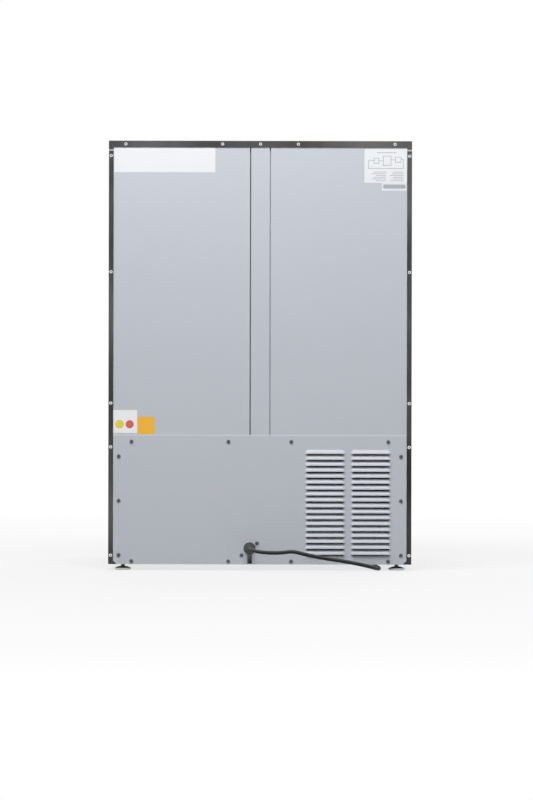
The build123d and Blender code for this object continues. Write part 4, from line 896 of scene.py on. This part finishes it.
# The coil's middle, and the X, counted from there, where each half turn ends and the next starts.
# On the half turn CLIMB_TURN, counted from 0, the line climbs from the floor to the upper layer.
COIL_X, COIL_Y = -0.050, -0.2635
COIL_CROSSINGS = (-0.0460, 0.0420, -0.0364, 0.0364, -0.0420, 0.0460, -0.0500)
COIL_TOP = 0.0118
CLIMB_TURN = 2
POINTS_PER_HALF_TURN = 8
LEAVE_RADIUS = 0.040
LEAVE_POINTS = 4
PLUG_START = (-0.1475, -0.3035, COIL_TOP)

# The tie's middle lies TIE_CENTRE from the coil's, and its corners are round.
TIE_CENTRE, TIE_WIDTH, TIE_LENGTH = 0.0412, 0.0186, 0.010
TIE_BOTTOM, TIE_TOP = 0.0001, 0.0164
TIE_THICKNESS, TIE_CORNER = 0.0009, 0.0055


def control_radius(radius, step):
    """How far out the spline's control points lie, a step of turn apart, to draw an arc."""
    return radius / math.cos(step / 2)


def coil_points():
    """Control points of the coil: half turns wound in on the floor and out again on top."""
    points = []
    step = math.pi / POINTS_PER_HALF_TURN
    for half_turn, (here, there) in enumerate(zip(COIL_CROSSINGS, COIL_CROSSINGS[1:])):
        middle, radius = (here + there) / 2, control_radius((here - there) / 2, step)
        for index in range(POINTS_PER_HALF_TURN):
            turn = (index + 0.5) * step
            climb = min(max(half_turn + turn / math.pi - CLIMB_TURN, 0), 1)
            x = COIL_X + middle + radius * math.cos(turn)
            z = CORD_FLOOR + (COIL_TOP - CORD_FLOOR) * climb
            points.append((x, COIL_Y + radius * math.sin(turn), z))
    return points


def leaving_points():
    """Control points of the quarter turn by which the cord leaves the coil for its plug."""
    step = math.pi / 2 / LEAVE_POINTS
    radius = control_radius(LEAVE_RADIUS, step)
    middle_x = COIL_X + COIL_CROSSINGS[-1] - LEAVE_RADIUS
    turns = [(index + 0.5) * step for index in range(LEAVE_POINTS)]
    return [(middle_x + radius * math.cos(t), COIL_Y - radius * math.sin(t), COIL_TOP) for t in turns]


def make_cord(jacket, tie):
    """The black supply cord with its coil, as one smooth line."""
    points = [*CORD_ROUTE, *coil_points(), *leaving_points(), PLUG_START]
    line = bpy.data.curves.new("supply_cord", "CURVE")
    line.dimensions = "3D"
    spline = line.splines.new("NURBS")
    spline.points.add(len(points) - 1)
    for point, place in zip(spline.points, points):
        point.co = (*place, 1.0)
        point.radius = CORD_DIAMETER / 2
    spline.order_u = 3
    spline.use_endpoint_u = True
    spline.resolution_u = 8
    line.bevel_depth = 1.0
    line.bevel_resolution = 5
    line.use_fill_caps = True
    line.materials.append(jacket)
    cord = bpy.data.objects.new("supply_cord", line)
    bpy.context.scene.collection.objects.link(cord)
    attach(cord, "cabinet")
    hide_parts("power_cord", "power_cord_coil")


# Pieces made here: the coil's tie, the screw heads and the labels


def mesh_from(name, shape, smooth_angle=None):
    """A mesh from a finished bmesh, shaded smooth below the given angle in degrees."""
    bmesh.ops.recalc_face_normals(shape, faces=shape.faces)
    mesh = bpy.data.meshes.new(name)
    shape.to_mesh(mesh)
    shape.free()
    if smooth_angle:
        mesh.shade_smooth()
        mesh.set_sharp_from_angle(angle=math.radians(smooth_angle))
    return mesh


def cabinet_piece(mesh, slot, *finishes):
    """A piece whose mesh holds its place in the shared frame, carried by the cabinet."""
    for finish in finishes:
        mesh.materials.append(finish)
    piece = bpy.data.objects.new(mesh.name, mesh)
    bpy.context.scene.collection.objects.link(piece)
    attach(piece, "cabinet")
    return piece


def join_rings(shape, first, second):
    """The faces between two closed rings of as many points; returns them."""
    faces = []
    for index in range(len(first)):
        after = (index + 1) % len(first)
        faces.append(shape.faces.new((first[index], first[after], second[after], second[index])))
    return faces


def strip(x_low, x_high, y_low, y_high):
    """The outline of a rectangle."""
    return [(x_low, y_low), (x_high, y_low), (x_high, y_high), (x_low, y_high)]


def disc(x, z, radius, sides=32):
    """The outline of a disc."""
    turns = [2 * math.pi * side / sides for side in range(sides)]
    return [(x + radius * math.cos(turn), z + radius * math.sin(turn)) for turn in turns]


def rounded_strip(x_low, x_high, z_low, z_high, corner, steps=5):
    """The outline of a rectangle with round corners."""
    outline = []
    for x, z, start in (
        (x_high - corner, z_high - corner, 0),
        (x_low + corner, z_high - corner, 90),
        (x_low + corner, z_low + corner, 180),
        (x_high - corner, z_low + corner, 270),
    ):
        for step in range(steps + 1):
            turn = math.radians(start + 90 * step / steps)
            outline.append((x + corner * math.cos(turn), z + corner * math.sin(turn)))
    return outline


def make_coil_tie(finish):
    """The strap that holds the coil's turns together on its +X side."""
    shape = bmesh.new()
    middle_x, middle_z = COIL_X + TIE_CENTRE, (TIE_TOP + TIE_BOTTOM) / 2
    half_x, half_z = TIE_WIDTH / 2, (TIE_TOP - TIE_BOTTOM) / 2
    outer = rounded_strip(-half_x, half_x, -half_z, half_z, TIE_CORNER, steps=6)
    inner = []
    for x, z in outer:
        share = 1 - TIE_THICKNESS / math.hypot(x, z)
        inner.append((x * share, z * share))
    rings = []
    for outline, side in ((outer, -1), (outer, 1), (inner, 1), (inner, -1)):
        y = COIL_Y + side * TIE_LENGTH / 2
        rings.append([shape.verts.new((middle_x + x, y, middle_z + z)) for x, z in outline])
    for first, second in zip(rings, rings[1:] + rings[:1]):
        join_rings(shape, first, second)
    return cabinet_piece(mesh_from("coil_tie", shape, 40), "cord_jacket", finish)


def add_pan_head(shape, x, z, radius, height, turn):
    """One domed screw head with a cross recess, seated on the rear at (X, Z) and turned."""
    turns = [turn + 2 * math.pi * side / HEAD_SIDES for side in range(HEAD_SIDES)]
    quarter = HEAD_SIDES // 4
    on_arm = [side % quarter in (0, 1, quarter - 1) for side in range(HEAD_SIDES)]
    recess = [RECESS_ARM if arm else RECESS_WAIST for arm in on_arm]
    dome = [([share] * HEAD_SIDES, rise) for share, rise in HEAD_DOME]
    rings = []
    for shares, rise in [*dome, (recess, RECESS_LEVEL)]:
        ring = []
        for share, angle in zip(shares, turns):
            out_x, out_z = radius * share * math.cos(angle), radius * share * math.sin(angle)
            ring.append(shape.verts.new((x + out_x, BACK + height * rise, z + out_z)))
        rings.append(ring)
    # The recess walls and floor take the second finish, which paints shade into them.
    for low, high in zip(rings, rings[1:]):
        for wall in join_rings(shape, low, high):
            wall.material_index = int(high is rings[-1])
    shape.faces.new(rings[-1]).material_index = 1


def make_screws(finishes):
    """The bright screws of the casing and the dark ones of the cover, each kind as one piece."""
    for name, node, places, head, kind in (
        ("casing_pan_screws", "casing_screws", CASING_SCREWS, CASING_HEAD, "bright_screw"),
        ("cover_pan_screws", "cover_screws", COVER_SCREWS, COVER_HEAD, "dark_screw"),
    ):
        shape = bmesh.new()
        for number, place in enumerate(places):
            add_pan_head(shape, *place, *head, HEAD_TURN * number)
        plating, recess = finishes[kind + "_plating"], finishes[kind + "_recess"]
        screws = cabinet_piece(mesh_from(name, shape, 35), kind, plating, recess)
        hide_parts(node)


def flat_print(name, outlines, lift, thickness, finish):
    """Thin flat shapes on the rear sheet, lift above its face, each from its (X, Z) outline."""
    shape = bmesh.new()
    near_y, far_y = PANEL_FACE + lift, PANEL_FACE + lift + thickness
    for outline in outlines:
        near = [shape.verts.new((x, near_y, z)) for x, z in outline]
        far = [shape.verts.new((x, far_y, z)) for x, z in outline]
        shape.faces.new(near)
        shape.faces.new(far)
        join_rings(shape, near, far)
    return cabinet_piece(mesh_from(name, shape), "grey_sheet", finish)


def frame_of_strips(x_low, x_high, z_low, z_high):
    """The four printed lines round a rectangle."""
    return [
        strip(x_low, x_high, z_low, z_low + PRINT_LINE),
        strip(x_low, x_high, z_high - PRINT_LINE, z_high),
        strip(x_low, x_low + PRINT_LINE, z_low, z_high),
        strip(x_high - PRINT_LINE, x_high, z_low, z_high),
    ]


def circuit_sheet_marks(left, top):
    """Three plain boxes joined by lines, with two columns of short rules below them."""
    marks = []
    # Boxes: X from and to, then how far their lower and upper edges lie below the top.
    for x_low, x_high, low, high in (
        (0.008, 0.020, 0.024, 0.013),
        (0.028, 0.044, 0.030, 0.011),
        (0.052, 0.062, 0.026, 0.015),
    ):
        marks += frame_of_strips(left + x_low, left + x_high, top - low, top - high)
    # Level lines: X from and to, and how far they lie below the top.
    for x_low, x_high, drop in (
        (0.020, 0.028, 0.019),
        (0.044, 0.052, 0.021),
        (0.062, 0.072, 0.020),
        (0.004, 0.072, 0.036),
        (0.004, 0.008, 0.018),
        (0.018, 0.056, 0.005),
    ):
        marks.append(strip(left + x_low, left + x_high, top - drop, top - drop + PRINT_LINE))
    # Upright lines: X, and how far their ends lie below the top.
    for x, low, high in ((0.072, 0.036, 0.020), (0.004, 0.036, 0.018)):
        marks.append(strip(left + x, left + x + PRINT_LINE, top - low, top - high))
    rows, first_drop, row_pitch = 6, 0.043, 0.0034
    for row in range(rows):
        z = top - first_drop - row_pitch * row
        marks.append(strip(left + 0.004, left + 0.024 + 0.003 * (row % 3), z, z + PRINT_LINE))
        marks.append(strip(left + 0.038, left + 0.058 + 0.004 * ((row + 1) % 3), z, z + PRINT_LINE))
    return marks


def make_labels(finishes):
    """The bare labels of the rear and the plain marks on them."""
    # Label, finish, corner radius, X from and to, Z from and to.
    for name, finish, corner, *sides in (
        ("wide_label", "bare_label", 0.002, 0.0885, 0.2875, 0.7810, 0.8300),
        ("circuit_sheet", "bare_label", 0.0008, -0.2875, -0.2040, 0.7610, 0.8275),
        ("narrow_label", "bare_label", 0.0008, -0.2862, -0.2382, 0.7460, 0.7606),
        ("square_label", "gloss_label", 0.001, 0.2410, 0.2884, 0.2692, 0.3145),
        ("amber_label", "amber_label", 0.0015, 0.2067, 0.2400, 0.2672, 0.3012),
    ):
        flat_print(name, [rounded_strip(*sides, corner)], 0.0, LABEL_THICKNESS, finishes[finish])
    for name, finish, outlines in (
        ("narrow_label_band", "grey_band", [strip(-0.2845, -0.2410, 0.7500, 0.7580)]),
        ("circuit_sheet_marks", "grey_print", circuit_sheet_marks(-0.2845, 0.8250)),
        ("square_label_yellow_dot", "yellow_print", [disc(0.2756, 0.2865, 0.0085)]),
        ("square_label_red_dot", "red_print", [disc(0.2555, 0.2865, 0.0080)]),
    ):
        flat_print(name, outlines, LABEL_THICKNESS, PRINT_THICKNESS, finishes[finish])


set_camera()
finishes = make_finishes()
make_cord(finishes["black_cord_jacket"], make_coil_tie(finishes["cord_tie_strap"]))
set_studio()
dress_packed_pieces(finishes)
make_screws(finishes)
make_labels(finishes)
